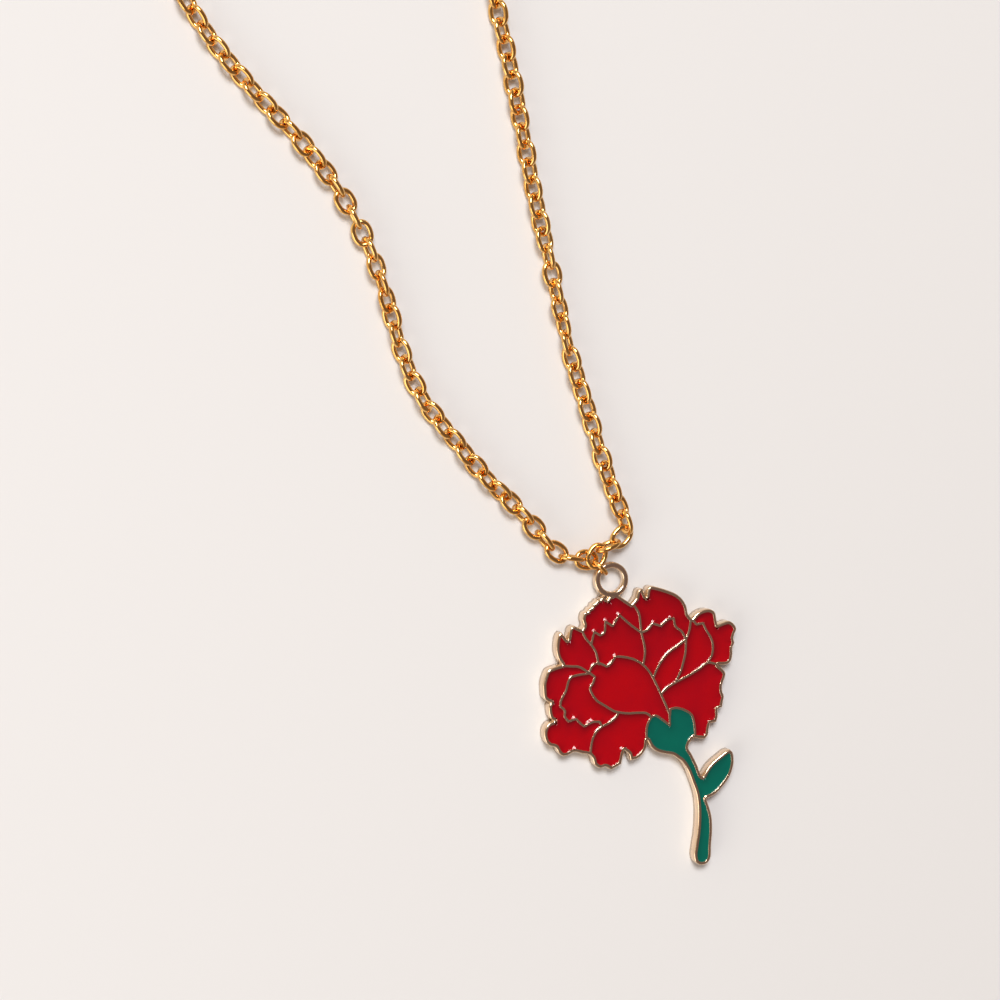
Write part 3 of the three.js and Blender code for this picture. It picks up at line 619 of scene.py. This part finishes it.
def charm_plate():
    """The charm's flat net, and how far each point lies inside the petals' outline, inside the
    ring's band, and past the metal's edge onto the enamel; below zero it lies outside. The last
    value is how much painted shade darkens the enamel's colour there."""
    petals = smooth_line(CHARM_OUTLINE, closed=True)
    walls = [smooth_line(points) for points in WALLS]
    shapes = [petals, circle(RING_CENTRE, RING_OUTER), smooth_line(NECK_OUTLINE, closed=True)]
    rows = [beside(petals, True, both_ways(EDGE_ROWS + RIM_ROWS)),
            beside(shapes[1], True, both_ways(EDGE_ROWS))]
    for wall in walls:
        rows.append(beside(wall, False, both_ways(WALL_ROWS)))
    rows += [circle(spot, row, POOL_STEPS) for spot in POOLED_AT for row in POOL_ROWS]
    plate = Plate(shapes, [circle(RING_CENTRE, RING_INNER)], EDGE_ROWS, rows, GRID)
    rim, enamel = past_metal(plate.flat, petals, walls)

    # Painted shadow below the walls: the metal lies on a point's upper side where a step that way
    # brings it nearer
    aside = plate.flat + SHADOW_PROBE_STEP * np.array(SHADOWING_WALL_SIDE)
    falls = (enamel - past_metal(aside, petals, walls)[1]) / SHADOW_PROBE_STEP
    painted_wall_shadow = np.clip(0.5 + 0.5 * falls, 0, 1) * np.exp(-np.maximum(enamel, 0) / SHADOW_REACH)
    # More painted shade towards the top
    risen = (plate.flat[:, 1] - TOP_SHADE_FROM_Y) / (TOP_SHADE_UP_TO_Y - TOP_SHADE_FROM_Y)
    painted_shade = 1 - (1 - painted_wall_shadow) * (1 - TOP_SHADE_MOST * np.clip(risen, 0, 1))

    from_ring = np.linalg.norm(plate.flat - RING_CENTRE, axis=1)
    band = np.minimum(RING_OUTER - from_ring, from_ring - RING_INNER)
    return plate, rim, band, enamel, painted_shade


def make_charm():
    """The charm's metal as one casting with its ring, and a fill in each of its cells."""
    plate, rim, band, enamel, painted_shade = charm_plate()
    within = rim > 0

    # The neck lies lowest; the petals' rim and walls and the ring's band rise above it
    top = np.full(len(rim), CHARM_THICK - NECK_DROP)
    top -= roll(plate.depth, EDGE_ROUND, EDGE_ROUND)
    on_rim = CHARM_THICK - roll(rim, RIM_ROUND, RIM_DROP) - roll(-enamel, WALL_ROUND, WALL_CROWN)
    top = np.where(within, np.maximum(top, on_rim), top)
    top = np.where(band > 0, np.maximum(top, CHARM_THICK - roll(band, RING_ROUND, RING_DROP)), top)
    top = np.where(enamel > 0, on_rim, top)
    sunk = np.clip(enamel / POCKET_DRAFT, 0, 1)
    top += (POCKET_FLOOR - top) * sunk
    bottom = np.where(within, roll(plate.depth, FOOT_ROUND, FOOT_ROUND),
                      RING_BOTTOM + roll(plate.depth, EDGE_ROUND, EDGE_ROUND))
    metal = Body()
    plate.raise_to(metal, top, bottom)
    metal.ship("charm_metalwork", "charm", CHARM_METAL, ["charm_body"])

    high = ENAMEL_LEVEL + MENISCUS_RISE * np.exp(-np.maximum(enamel, 0) / MENISCUS_REACH)
    high -= ENAMEL_SAG * (1 - np.exp(-np.maximum(enamel, 0) / SAG_REACH))
    for spot in POOLED_AT:
        ahead = (plate.flat - spot) @ POOL_FACES
        across = (plate.flat - spot) @ (-POOL_FACES[1], POOL_FACES[0])
        fall = np.where(ahead > 0, POOL_SLOPE * ahead, -POOL_BACK_SLOPE * ahead)
        high = np.maximum(high, ENAMEL_LEVEL + POOL_RISE - fall - across ** 2 / (2 * POOL_ACROSS))
    pools = part_of(plate.triangles, enamel > -HIDDEN_EDGE)
    for slot, cells in CELLS.items():
        for node, probe in cells.items():
            pool = min(pools, key=lambda group: nearest_triangle(plate.flat, group, probe))
            make_enamel(node, slot, plate.flat, pool, high, painted_shade)


def nearest_triangle(flat, triangles, probe):
    """How near the nearest of the triangles is to a point."""
    return np.linalg.norm(flat[triangles].mean(1) - probe, axis=1).min()


def make_enamel(node, slot, flat, triangles, high, painted_shade):
    """One fill: its glossy top, its sides behind the metal's edge, and its underside."""
    used, local = np.unique(triangles, return_inverse=True)
    local = local.reshape(-1, 3)
    count = len(used)
    top = np.column_stack([flat[used], high[used]])
    under = np.column_stack([flat[used], np.full(count, POCKET_FLOOR + LIFT)])
    faces = [*local.tolist(), *(local[:, ::-1] + count).tolist()]
    faces += [(i, i + count, j + count, j) for i, j in border_edges(local)]
    fill = Body()
    fill.add(np.concatenate([top, under]), faces)
    piece = fill.ship("enamel_" + node, "charm", ENAMELS[slot], [node])
    # How much painted shade darkens the enamel's colour at each point
    values = piece.data.attributes.new("painted_shade", "FLOAT", "POINT")
    values.data.foreach_set("value", np.tile(painted_shade[used], 2).astype(np.float32))


# ---- Finishes --------

# Places of the colour sockets on a Mix node
MIX_FIRST, MIX_SECOND, MIX_RESULT = 6, 7, 2


class Net:
    """Nodes of a material or a group, added and joined by name."""

    def __init__(self, tree):
        self.tree = tree

    def fill(self, node, values):
        """Sets a node's properties and the values of its sockets, by name."""
        for key, value in values.items():
            if hasattr(node, key):
                setattr(node, key, value)
            else:
                node.inputs[key.replace("_", " ")].default_value = value
        return node

    def add(self, kind, **values):
        return self.fill(self.tree.nodes.new(kind), values)

    def join(self, source, target):
        self.tree.links.new(source, target)

    def feed(self, value, target):
        """Gives a socket a number, or what another socket puts out."""
        if isinstance(value, (int, float)):
            target.default_value = value
        else:
            self.join(value, target)

    def math(self, operation, a, b):
        node = self.add("ShaderNodeMath", operation=operation)
        self.feed(a, node.inputs[0])
        self.feed(b, node.inputs[1])
        return node.outputs[0]

    def mixed(self, factor, a, b):
        node = self.add("ShaderNodeMix", data_type="RGBA")
        self.join(factor, node.inputs["Factor"])
        self.join(a, node.inputs[MIX_FIRST])
        self.join(b, node.inputs[MIX_SECOND])
        return node.outputs[MIX_RESULT]

    def noise(self, where, scale, detail, roughness=0.55):
        node = self.add("ShaderNodeTexNoise", Detail=detail, Roughness=roughness)
        self.join(where, node.inputs["Vector"])
        self.feed(scale, node.inputs["Scale"])
        return node.outputs["Fac"]

    def spread(self, value, low, high, to_low=0.0, to_high=1.0):
        node = self.add("ShaderNodeMapRange", From_Min=low, From_Max=high, To_Min=to_low,
                        To_Max=to_high)
        self.join(value, node.inputs["Value"])
        return node.outputs[0]


def group(name, takes, gives):
    """An empty node group with named sockets; returns its net, inputs and outputs."""
    tree = bpy.data.node_groups.new(name, "ShaderNodeTree")
    for label, kind, value in takes:
        socket = tree.interface.new_socket(label, in_out="INPUT", socket_type=kind)
        socket.default_value = value
    for label, kind in gives:
        tree.interface.new_socket(label, in_out="OUTPUT", socket_type=kind)
    net = Net(tree)
    return net, net.add("NodeGroupInput").outputs, net.add("NodeGroupOutput").inputs


FLOAT, COLOUR = "NodeSocketFloat", "NodeSocketColor"
WHITE = (1, 1, 1, 1)

# Polishing lines run one way, so their noise is turned and drawn out
LINES_TURN = (0.3, 0.2, 0.9)
LINES_STRETCH = (1.0, 0.12, 0.35)
LINES_HEIGHT = 0.25
SPECK_STRENGTH = 0.35
PINHOLE_DEPTH = 0.4


def polished_wear():
    """Fine polishing lines, small dents and dull spots of plated metal."""
    net, takes, gives = group("polished_wear", [
        ("Line Size", FLOAT, 9000.0), ("Dent Size", FLOAT, 1800.0), ("Dullness", FLOAT, 0.1),
    ], [("Height", FLOAT), ("Roughness Added", FLOAT)])
    where = net.add("ShaderNodeTexCoord").outputs["Object"]
    drawn = net.add("ShaderNodeMapping", Rotation=LINES_TURN, Scale=LINES_STRETCH)
    net.join(where, drawn.inputs["Vector"])
    lines = net.noise(drawn.outputs[0], takes["Line Size"], detail=3.0)
    dents = net.noise(where, takes["Dent Size"], detail=2.0)
    height = net.math("ADD", net.math("MULTIPLY", lines, LINES_HEIGHT), dents)
    net.join(height, gives["Height"])
    spots = net.spread(net.noise(where, scale=700.0, detail=5.0), low=0.42, high=0.7)
    net.join(net.math("MULTIPLY", spots, takes["Dullness"]), gives["Roughness Added"])
    return net.tree


def plated_tone():
    """The metal's colour, a little darker in some places than in others."""
    net, takes, gives = group("plated_tone", [
        ("Bright", COLOUR, WHITE), ("Deep", COLOUR, WHITE), ("Patch Size", FLOAT, 350.0),
    ], [("Colour", COLOUR)])
    where = net.add("ShaderNodeTexCoord").outputs["Object"]
    patches = net.noise(where, takes["Patch Size"], detail=6.0, roughness=0.6)
    patches = net.spread(patches, low=0.35, high=0.68)
    net.join(net.mixed(patches, takes["Bright"], takes["Deep"]), gives["Colour"])
    return net.tree


def poured_enamel():
    """Clouding and specks of the colour, painted shade that darkens it, and a poured surface's
    waves and pinholes.
    """
    net, takes, gives = group("poured_enamel", [
        ("Clear", COLOUR, WHITE), ("Cloudy", COLOUR, WHITE),
        ("Deep", COLOUR, WHITE), ("Deepening", FLOAT, 0.5),
        ("Wave Size", FLOAT, 500.0), ("Pinholes", FLOAT, 1.0),
    ], [("Colour", COLOUR), ("Height", FLOAT)])
    where = net.add("ShaderNodeTexCoord").outputs["Object"]
    clouds = net.noise(where, scale=260.0, detail=5.0, roughness=0.6)
    clouds = net.spread(clouds, low=0.3, high=0.7)
    specks = net.spread(net.noise(where, scale=4200.0, detail=2.0), low=0.72, high=0.8)
    tone = net.mixed(clouds, takes["Clear"], takes["Cloudy"])
    tone = net.mixed(net.math("MULTIPLY", specks, SPECK_STRENGTH), tone, takes["Cloudy"])
    # Painted shade, read from the mesh: a painted shadow below the walls and darker towards the
    # top, mixed towards the Deep colour
    painted_shade = net.add("ShaderNodeAttribute", attribute_name="painted_shade").outputs["Fac"]
    tone = net.mixed(net.math("MULTIPLY", painted_shade, takes["Deepening"]), tone, takes["Deep"])
    net.join(tone, gives["Colour"])
    waves = net.noise(where, takes["Wave Size"], detail=2.0)
    cells = net.add("ShaderNodeTexVoronoi", Scale=420.0)
    net.join(where, cells.inputs["Vector"])
    holes = net.spread(cells.outputs["Distance"], low=0.015, high=0.05, to_low=-1.0, to_high=0.0)
    holes = net.math("MULTIPLY", holes, takes["Pinholes"])
    height = net.math("ADD", waves, net.math("MULTIPLY", holes, PINHOLE_DEPTH))
    net.join(height, gives["Height"])
    return net.tree


POLISHED_WEAR = polished_wear()
PLATED_TONE = plated_tone()
POURED_ENAMEL = poured_enamel()


def placed(net, tree, **values):
    """A node group placed in a material with the material's own values."""
    return net.add("ShaderNodeGroup", node_tree=tree, **values)


def bare_material(name, **constants):
    """A new material with values set on its shader; returns it, its net and its shader."""
    material = bpy.data.materials.new(name)
    material.use_nodes = True
    net = Net(material.node_tree)
    return material, net, net.fill(net.tree.nodes["Principled BSDF"], constants)


# Heights of the small relief, in m
PLATING_DEPTH = 0.00002
ENAMEL_DEPTH = 0.000006


def add_relief(net, height, depth, surface):
    """Small relief under the shader's normal."""
    bump = net.add("ShaderNodeBump", Strength=1.0, Distance=depth)
    net.join(height, bump.inputs["Height"])
    net.join(bump.outputs[0], surface.inputs["Normal"])


def plated_metal(name, bright, deep, roughness, dullness, line_size, dent_size):
    material, net, surface = bare_material(name, Metallic=1.0)
    tone = placed(net, PLATED_TONE, Bright=bright, Deep=deep)
    net.join(tone.outputs["Colour"], surface.inputs["Base Color"])
    wear = placed(net, POLISHED_WEAR, Line_Size=line_size, Dent_Size=dent_size, Dullness=dullness)
    uneven = net.math("ADD", wear.outputs["Roughness Added"], roughness)
    net.join(uneven, surface.inputs["Roughness"])
    add_relief(net, wear.outputs["Height"], PLATING_DEPTH, surface)
    return material


def enamel(name, clear, cloudy, deep, painted_shade_amount):
    material, net, surface = bare_material(name, Roughness=0.06, Specular_IOR_Level=0.4)
    look = placed(net, POURED_ENAMEL, Clear=clear, Cloudy=cloudy, Deep=deep, Deepening=painted_shade_amount)
    net.join(look.outputs["Colour"], surface.inputs["Base Color"])
    add_relief(net, look.outputs["Height"], ENAMEL_DEPTH, surface)
    return material


CHAIN_GOLD = plated_metal(
    "chain_gold", bright=(0.90, 0.56, 0.20, 1), deep=(0.82, 0.43, 0.115, 1),
    roughness=0.09, dullness=0.09, line_size=9000.0, dent_size=1500.0)
CHARM_METAL = plated_metal(
    "charm_metal", bright=(0.85, 0.655, 0.465, 1), deep=(0.77, 0.57, 0.40, 1),
    roughness=0.13, dullness=0.12, line_size=7000.0, dent_size=1100.0)
# The deep colour and the amount it is mixed in are painted shade: a painted shadow below the walls
# and darker towards the top
ENAMELS = {
    "enamel_red": enamel(
        "enamel_red", clear=(0.435, 0.0, 0.004, 1), cloudy=(0.365, 0.0, 0.006, 1),
        deep=(0.02, 0.0, 0.004, 1), painted_shade_amount=0.68),
    "enamel_green": enamel(
        "enamel_green", clear=(0.0, 0.135, 0.094, 1), cloudy=(0.0, 0.115, 0.085, 1),
        deep=(0.0, 0.03, 0.025, 1), painted_shade_amount=0.35),
}


# ---- Links and rings --------

def wire_loop(body, place, length, width, wire, fullness=LINK_FULLNESS, path_steps=44,
              wire_steps=14, gap=0.0):
    """A closed or cut loop of round wire, its plane in XY and its length along X."""
    a, b, r = (length - wire) / 2, (width - wire) / 2, wire / 2
    points, faces = [], []
    start = gap / 2 / b
    turns = [start + (2 * math.pi - 2 * start) * k / path_steps for k in range(path_steps + 1)]
    if not gap:
        turns.pop()
    for turn in turns:
        c, s = math.cos(turn), math.sin(turn)
        x, y = (math.copysign(abs(v) ** (2 / fullness), v) for v in (c, s))
        out = Vector((b * math.copysign(abs(c) ** (2 - 2 / fullness), c),
                      a * math.copysign(abs(s) ** (2 - 2 / fullness), s), 0)).normalized()
        middle = Vector((a * x, b * y, 0))
        for k in range(wire_steps):
            around = 2 * math.pi * k / wire_steps
            upwards = Vector((0, 0, r * math.sin(around)))
            points.append(place @ (middle + out * (r * math.cos(around)) + upwards))
    rings = len(turns)
    for i in range(rings if not gap else rings - 1):
        j = (i + 1) % rings
        for k in range(wire_steps):
            n = (k + 1) % wire_steps
            faces.append((i * wire_steps + k, j * wire_steps + k, j * wire_steps + n,
                          i * wire_steps + n))
    if gap:
        faces.append(tuple(range(wire_steps)))
        faces.append(tuple(range((rings - 1) * wire_steps, rings * wire_steps))[::-1])
    body.add(points, faces)


def placing(start, end, turn):
    """Where a link lies between two points, turned about the line between them."""
    along = (end - start).normalized()
    up = Vector((0, 0, 1))
    up = (up - along * up.dot(along)).normalized()
    up = Matrix.Rotation(turn, 3, along) @ up
    side = up.cross(along)
    basis = Matrix((along, side, up)).transposed().to_4x4()
    return Matrix.Translation((start + end) / 2) @ basis


def value_at(table, distance):
    """The value at a distance, passing softly from one row of the table to the next."""
    if distance >= table[-1][0]:
        return table[-1][1]
    k = next(i for i, (d, _) in enumerate(table) if d > distance)
    (d0, v0), (d1, v1) = table[k - 1], table[k]
    part = (distance - d0) / (d1 - d0)
    return v0 + (v1 - v0) * part * part * (3 - 2 * part)


def rest_height(turn, width, wire):
    """How high the middle of a turned link lies; the solids' wire has three sides."""
    sine, cosine = abs(math.sin(turn)), abs(math.cos(turn))
    half_wire = wire * math.sin(math.pi / 3)
    return max(sine, cosine) * width / 2 + min(sine, cosine) * half_wire + LIFT


def links_along(start, route, turns, count, per_node, pitch, width, wire):
    """Inner ends of a chain's links: one pitch apart along the route, with slack between nodes."""
    at = [start, *(Vector((x, y, 0)) for x, y in route)]
    fine = []
    for i in range(len(at) - 1):
        p0 = at[i - 1] if i else 2 * at[0] - at[1]
        p3 = at[i + 2] if i + 2 < len(at) else 2 * at[-1] - at[-2]
        fine += [bend(p0, at[i], at[i + 1], p3, k / ROUTE_STEPS) for k in range(ROUTE_STEPS)]
    fine.append(at[-1])
    flat = np.array([(p.x, p.y) for p in fine])

    def point_from(origin, distance):
        far = np.hypot(flat[:, 0] - origin.x, flat[:, 1] - origin.y)
        k = int(np.nonzero(far < distance)[0][-1]) + 1
        part = (distance - far[k - 1]) / (far[k] - far[k - 1])
        return fine[k - 1].lerp(fine[k], part)

    links = []
    origin = start.copy()
    for i in range(count):
        turn = math.radians(value_at(turns, (i + 1) * pitch))
        height = max(rest_height(turn, width, wire), start.z - (i + 1) * DESCENT)
        end = point_from(origin, pitch)
        end.z = height
        links.append((origin, end))
        loose = SINK + SLACK if (i + 1) % per_node == 0 else 0
        origin = point_from(origin, pitch - loose)
        origin.z = height
    return links


def make_run(name, links, turns, per_node, pitch, length, width, wire, fullness,
             pull=0.0, lean=0.0):
    """A run of links, one piece for each CAD node; no two links lie quite alike.

    The first link is pulled away from what it hooks on, and leans to one side."""
    for first in range(0, len(links), per_node):
        run = Body()
        for i in range(first, min(first + per_node, len(links))):
            start, end = links[i]
            turn = value_at(turns, i * pitch) + i % 2 * 90 + random.gauss(0, LINK_TWIST)
            place = placing(start, end, math.radians(turn))
            place @= Matrix.Rotation(math.radians(random.gauss(0, LINK_SWAY)), 4, "Z")
            place @= Matrix.Translation((random.gauss(0, SIDESTEP), 0, 0))
            if i == 0:
                place @= Matrix.Translation((pull, 0, 0))
                place @= Matrix.Rotation(math.radians(lean), 4, "X")
            wire_loop(run, place, length, width, wire, fullness)
        node = f"{name}_{first // per_node + 1:02d}"
        run.ship_gold("links_" + node, node)


def end_of(links):
    """Where a run ends, and which way it points there."""
    start, end = links[-1]
    along = end - start
    along.z = 0
    return end, along.normalized()


# ---- Both runs of the chain, from the hanger to the jump rings --------

def make_hanger():
    """The link that holds the charm's ring, on edge; returns what the two runs hook on."""
    angle = math.radians(HANGER_ANGLE)
    to_ring = Vector((math.cos(angle), math.sin(angle), 0))
    radius = HANGER_INNER_WIDTH / 2 / HANGER_FLAT + SOLID_WIRE
    height = (radius + SOLID_WIRE / 2) * HANGER_FLAT + LIFT
    pin = Vector((*RING_CENTRE, height)) + to_ring * (HANGER_TO_RING - RING_INNER)
    inner = pin - to_ring * SOLID_WIRE * HANGER_FLAT
    outer = inner - to_ring * HANGER_INNER_LENGTH
    hanger = Body()
    inner_length = HANGER_INNER_LENGTH - HANGER_SHORTER
    middle = outer + to_ring * inner_length / 2
    reach = to_ring * (HANGER_WIRE + inner_length) / 2
    wire_loop(hanger, placing(middle - reach, middle + reach, math.pi / 2),
              inner_length + 2 * HANGER_WIRE, HANGER_INNER_WIDTH + 2 * HANGER_WIRE, HANGER_WIRE)
    hanger.ship_gold("link_hanger", "hanger_link")
    return outer - to_ring * SOLID_WIRE * HANGER_FLAT, height


def hooked_on(end, height, towards, start_height):
    """Where a run starts, hooked on the hanger's end and lying towards its route."""
    along = (Vector((*towards, height)) - end).normalized()
    start = end - along * (SOLID_WIRE + SLACK + SINK)
    start.z = start_height
    return start


def make_chain():
    """The hanger and both runs; returns where each run ends."""
    end, height = make_hanger()
    runs = {}
    for side, route, turns, step in (("left", LEFT_ROUTE, LEFT_TURN, -FIRST_LINK_STEP),
                                     ("right", RIGHT_ROUTE, RIGHT_TURN, FIRST_LINK_STEP)):
        start = hooked_on(end, height, route[0], height + step)
        links = links_along(start, route, turns, LINKS_EACH_SIDE, LINKS_PER_NODE, LINK_PITCH,
                            SOLID_LINK_WIDTH, SOLID_WIRE)
        make_run("chain_" + side, links, turns, LINKS_PER_NODE, LINK_PITCH, LINK_LENGTH,
                 LINK_WIDTH, LINK_WIRE, LINK_FULLNESS, FIRST_LINK_PULL,
                 FIRST_LINK_LEAN if side == "right" else 0.0)
        runs[side] = end_of(links)
    return runs


def make_jump_ring(name, at, along, far_height):
    """A cut ring, hooked on the run's last link; returns its far inner end."""
    inner = 2 * (JUMP_RING_OUTER - 2 * JUMP_WIRE) * JUMP_FLAT
    start = at - along * SLACK
    end = start + along * inner
    end.z = far_height
    ring = Body()
    place = placing(start, end, 0) @ Matrix.Rotation(math.radians(JUMP_CUT_AT), 4, "Z")
    wire = 2 * JUMP_WIRE * JUMP_SLIMMER
    size = inner + 2 * wire
    wire_loop(ring, place, size, size, wire, ROUND_LOOP, JUMP_RING_STEPS, RING_WIRE_STEPS,
              gap=JUMP_CUT)
    ring.ship_gold("ring_" + name, name)
    return end


# ---- Clasp, extender and drop --------

CLASP_ROWS = (0.02, 0.06, 0.12, 0.2, 0.3, 0.42, 0.56)
LEVER_ROWS = (0.015, 0.04, 0.08, 0.14, 0.22)


def pillow(body, place, outline, holes, low, high, edge, rows=CLASP_ROWS):
    """A cast shape with well rounded edges between two heights."""
    first = len(body.points)
    plate = Plate([smooth_line(outline, closed=True)], holes, rows, [], CLASP_GRID)
    soft = roll(plate.depth, edge, edge)
    plate.raise_to(body, high - soft, low + soft, CLASP_LEDGE)
    body.points[first:] = [tuple(place @ Vector(p)) for p in body.points[first:]]


def hung_from(at, along, height):
    """Where a casting lies whose loop hangs on the end of a ring or link."""
    place = placing(at, at + along, 0)
    place.translation = at + along * ((TAIL_RADIUS - TAIL_WIRE) * JUMP_FLAT - SLACK)
    place.translation.z = height
    return place


def tail_loop(body, place):
    """The upright loop that a casting hangs by."""
    wire = 2 * TAIL_WIRE * TAIL_SLIMMER
    size = 2 * TAIL_RADIUS + wire
    wire_loop(body, place @ Matrix.Rotation(math.pi / 2, 4, "X"), size, size, wire, ROUND_LOOP,
              TAIL_STEPS, RING_WIRE_STEPS)


def make_clasp(at, along):
    """Two cheeks with the lever's slot between them at the pin, one hook, lever and pin."""
    place = hung_from(at, along, LIFT)
    middle = CLASP_THICK / 2
    slot = LEVER_THICK / 2 + SLOT_GAP
    pin_hole = circle(PIN_AT, PIN_RADIUS + PIN_GAP, HOLE_STEPS)
    casting = Body()
    for low, high in ((0, middle - slot), (middle + slot, CLASP_THICK)):
        pillow(casting, place, CLASP_OUTLINE, [pin_hole], low, high, CLASP_ROUND)
    pillow(casting, place, CLASP_HOOK, [], HOOK_INSET, CLASP_THICK - HOOK_INSET, HOOK_ROUND)
    tail_loop(casting, place @ Matrix.Translation((0, 0, TAIL_RADIUS + TAIL_WIRE)))
    casting.ship_gold("clasp_casting", "clasp_body")
    lever = Body()
    pillow(lever, place, LEVER_OUTLINE, [pin_hole], middle - LEVER_THICK / 2,
           middle + LEVER_THICK / 2, LEVER_ROUND, LEVER_ROWS)
    lever.ship_gold("clasp_thumb_lever", "clasp_lever", body="clasp_lever")
    pin = Body()
    far_end = [(radius, CLASP_THICK - height) for radius, height in reversed(RIVET_END)]
    turned(pin, place @ Matrix.Translation((*PIN_AT, 0)), RIVET_END + far_end, PIN_SIDES)
    pin.ship_gold("clasp_rivet", "clasp_pin")


def turned(body, place, profile, sides):
    """A solid of revolution about Z from a profile of radius and height on the axis."""
    points = [place @ Vector((0, 0, profile[0][1]))]
    rings = profile[1:-1]
    for radius, height in rings:
        for k in range(sides):
            turn = 2 * math.pi * k / sides
            spot = Vector((radius * math.cos(turn), radius * math.sin(turn), height))
            points.append(place @ spot)
    points.append(place @ Vector((0, 0, profile[-1][1])))
    faces = []
    for k in range(sides):
        n = (k + 1) % sides
        faces.append((0, 1 + n, 1 + k))
        for i in range(len(rings) - 1):
            a, b = 1 + i * sides, 1 + (i + 1) * sides
            faces.append((a + k, a + n, b + n, b + k))
        last = 1 + (len(rings) - 1) * sides
        faces.append((last + k, last + n, len(points) - 1))
    body.add(points, faces)


def make_extender(at, along):
    """The chain of larger links behind the right run; returns where it ends."""
    links = links_along(at - along * SLACK, EXTENDER_ROUTE, EXTENDER_TURN, EXTENDER_LINKS,
                        EXTENDER_LINKS_PER_NODE, EXTENDER_PITCH, EXTENDER_WIDTH,
                        SOLID_EXTENDER_WIRE)
    make_run("extender", links, EXTENDER_TURN, EXTENDER_LINKS_PER_NODE, EXTENDER_PITCH,
             EXTENDER_PITCH + 2 * EXTENDER_WIRE, EXTENDER_WIDTH - EXTENDER_NARROWER,
             EXTENDER_WIRE, EXTENDER_FULLNESS)
    return end_of(links)


def make_drop(at, along):
    """The drop at the extender's end, turned about its length, with its loop."""
    place = hung_from(at, along, DROP_RADIUS + LIFT)
    drop = Body()
    turned(drop, place @ Matrix.Rotation(math.pi / 2, 4, "Y"),
           smooth_line(DROP_PROFILE, step=DROP_STEP), DROP_SIDES)
    tail_loop(drop, place)
    drop.ship_gold("drop_extender_end", "extender_drop")


# ---- Floor, lights and camera --------

CAMERA_AT = (-106.5, 46.9, 284.3)
CAMERA_TARGET = (-15.0, 18.9, 0.0)
LENS = 108
SENSOR = 36
CLIP_START = 0.01

FLOOR_HALF = 3.0
FLOOR_ROUGHNESS = 0.7
FLOOR_COLOUR = (0.79, 0.80, 0.815, 1)

# Each light's direction and distance in m from the camera's target, size in m, watts, and colour
WINDOW_FROM = (-0.2, 0.46, 0.87)
WINDOW_WHITE = (1.0, 0.985, 0.975)
LIGHTS = {
    "window": (WINDOW_FROM, 1.3, 0.6, 9.9, WINDOW_WHITE),
    "lamp_in_window": (WINDOW_FROM, 1.29, 0.36, 4.0, WINDOW_WHITE),
    "left_fill": ((-0.8, -0.55, 0.5), 0.4, 0.3, 0.4, (1.0, 0.96, 0.90)),
}

# Which way it is dimmest, and the surroundings' colours from square to that way (0) to along it (1)
DIM_SIDE = (0.38, -0.12, 0.92)
WORLD_STEPS = [
    (0.0, (0.88, 0.76, 0.52, 1)), (0.25, (0.50, 0.41, 0.32, 1)), (0.55, (0.27, 0.21, 0.175, 1)),
    (0.8, (0.19, 0.142, 0.13, 1)), (1.0, (0.17, 0.125, 0.12, 1)),
]


def make_camera():
    """Looks down on the necklace from the left, with +Y running up the picture."""
    data = bpy.data.cameras.new("camera")
    data.lens, data.sensor_width, data.clip_start = LENS, SENSOR, CLIP_START
    camera = in_scene("camera", data)
    at, target = Vector(CAMERA_AT) * MM, Vector(CAMERA_TARGET) * MM
    back = (at - target).normalized()
    side = Vector((0, 1, 0)).cross(back).normalized()
    basis = Matrix((side, back.cross(side), back)).transposed().to_4x4()
    camera.matrix_world = Matrix.Translation(at) @ basis
    bpy.context.scene.camera = camera


def make_floor():
    mesh = bpy.data.meshes.new("floor")
    corners = [(x * FLOOR_HALF, y * FLOOR_HALF, 0) for x, y in ((-1, -1), (1, -1), (1, 1), (-1, 1))]
    mesh.from_pydata(corners, [], [(0, 1, 2, 3)])
    paint = bare_material("floor_paint", Roughness=FLOOR_ROUGHNESS, Base_Color=FLOOR_COLOUR)
    mesh.materials.append(paint[0])
    floor = in_scene("floor", mesh)


def make_light(name, direction, distance, size, power, colour):
    data = bpy.data.lights.new(name, "AREA")
    data.shape, data.size, data.energy, data.color = "DISK", size, power, colour
    light = in_scene(name, data)
    way = Vector(direction).normalized()
    light.matrix_world = (Matrix.Translation(way * distance + Vector(CAMERA_TARGET) * MM)
                          @ way.to_track_quat("Z", "Y").to_matrix().to_4x4())


def make_world():
    """Bright near the table, most of all on the left, and dim overhead and on the right."""
    world = bpy.data.worlds.new("studio")
    world.use_nodes = True
    bpy.context.scene.world = world
    net = Net(world.node_tree)
    dot = net.add("ShaderNodeVectorMath", operation="DOT_PRODUCT")
    net.join(net.add("ShaderNodeTexCoord").outputs["Generated"], dot.inputs[0])
    dot.inputs[1].default_value = Vector(DIM_SIDE).normalized()
    ramp = net.add("ShaderNodeValToRGB").color_ramp
    ramp.elements[0].position, ramp.elements[0].color = WORLD_STEPS[0]
    ramp.elements[1].position, ramp.elements[1].color = WORLD_STEPS[-1]
    for position, colour in WORLD_STEPS[1:-1]:
        ramp.elements.new(position).color = colour
    node = net.tree.nodes["Color Ramp"]
    net.join(dot.outputs["Value"], node.inputs[0])
    sky = net.tree.nodes["Background"]
    net.join(node.outputs[0], sky.inputs["Color"])


def make_studio():
    make_floor()
    make_world()
    for name, values in LIGHTS.items():
        make_light(name, *values)
    bpy.context.scene.view_settings.view_transform = "Standard"


# ---- The whole necklace --------

make_camera()
make_studio()
make_charm()
runs = make_chain()
clasp_end = make_jump_ring("jump_ring_clasp", *runs["left"], CLASP_RING_HEIGHT)
make_clasp(clasp_end, runs["left"][1])
extender_end = make_jump_ring("jump_ring_extender", *runs["right"], EXTENDER_RING_HEIGHT)
make_drop(*make_extender(extender_end, runs["right"][1]))
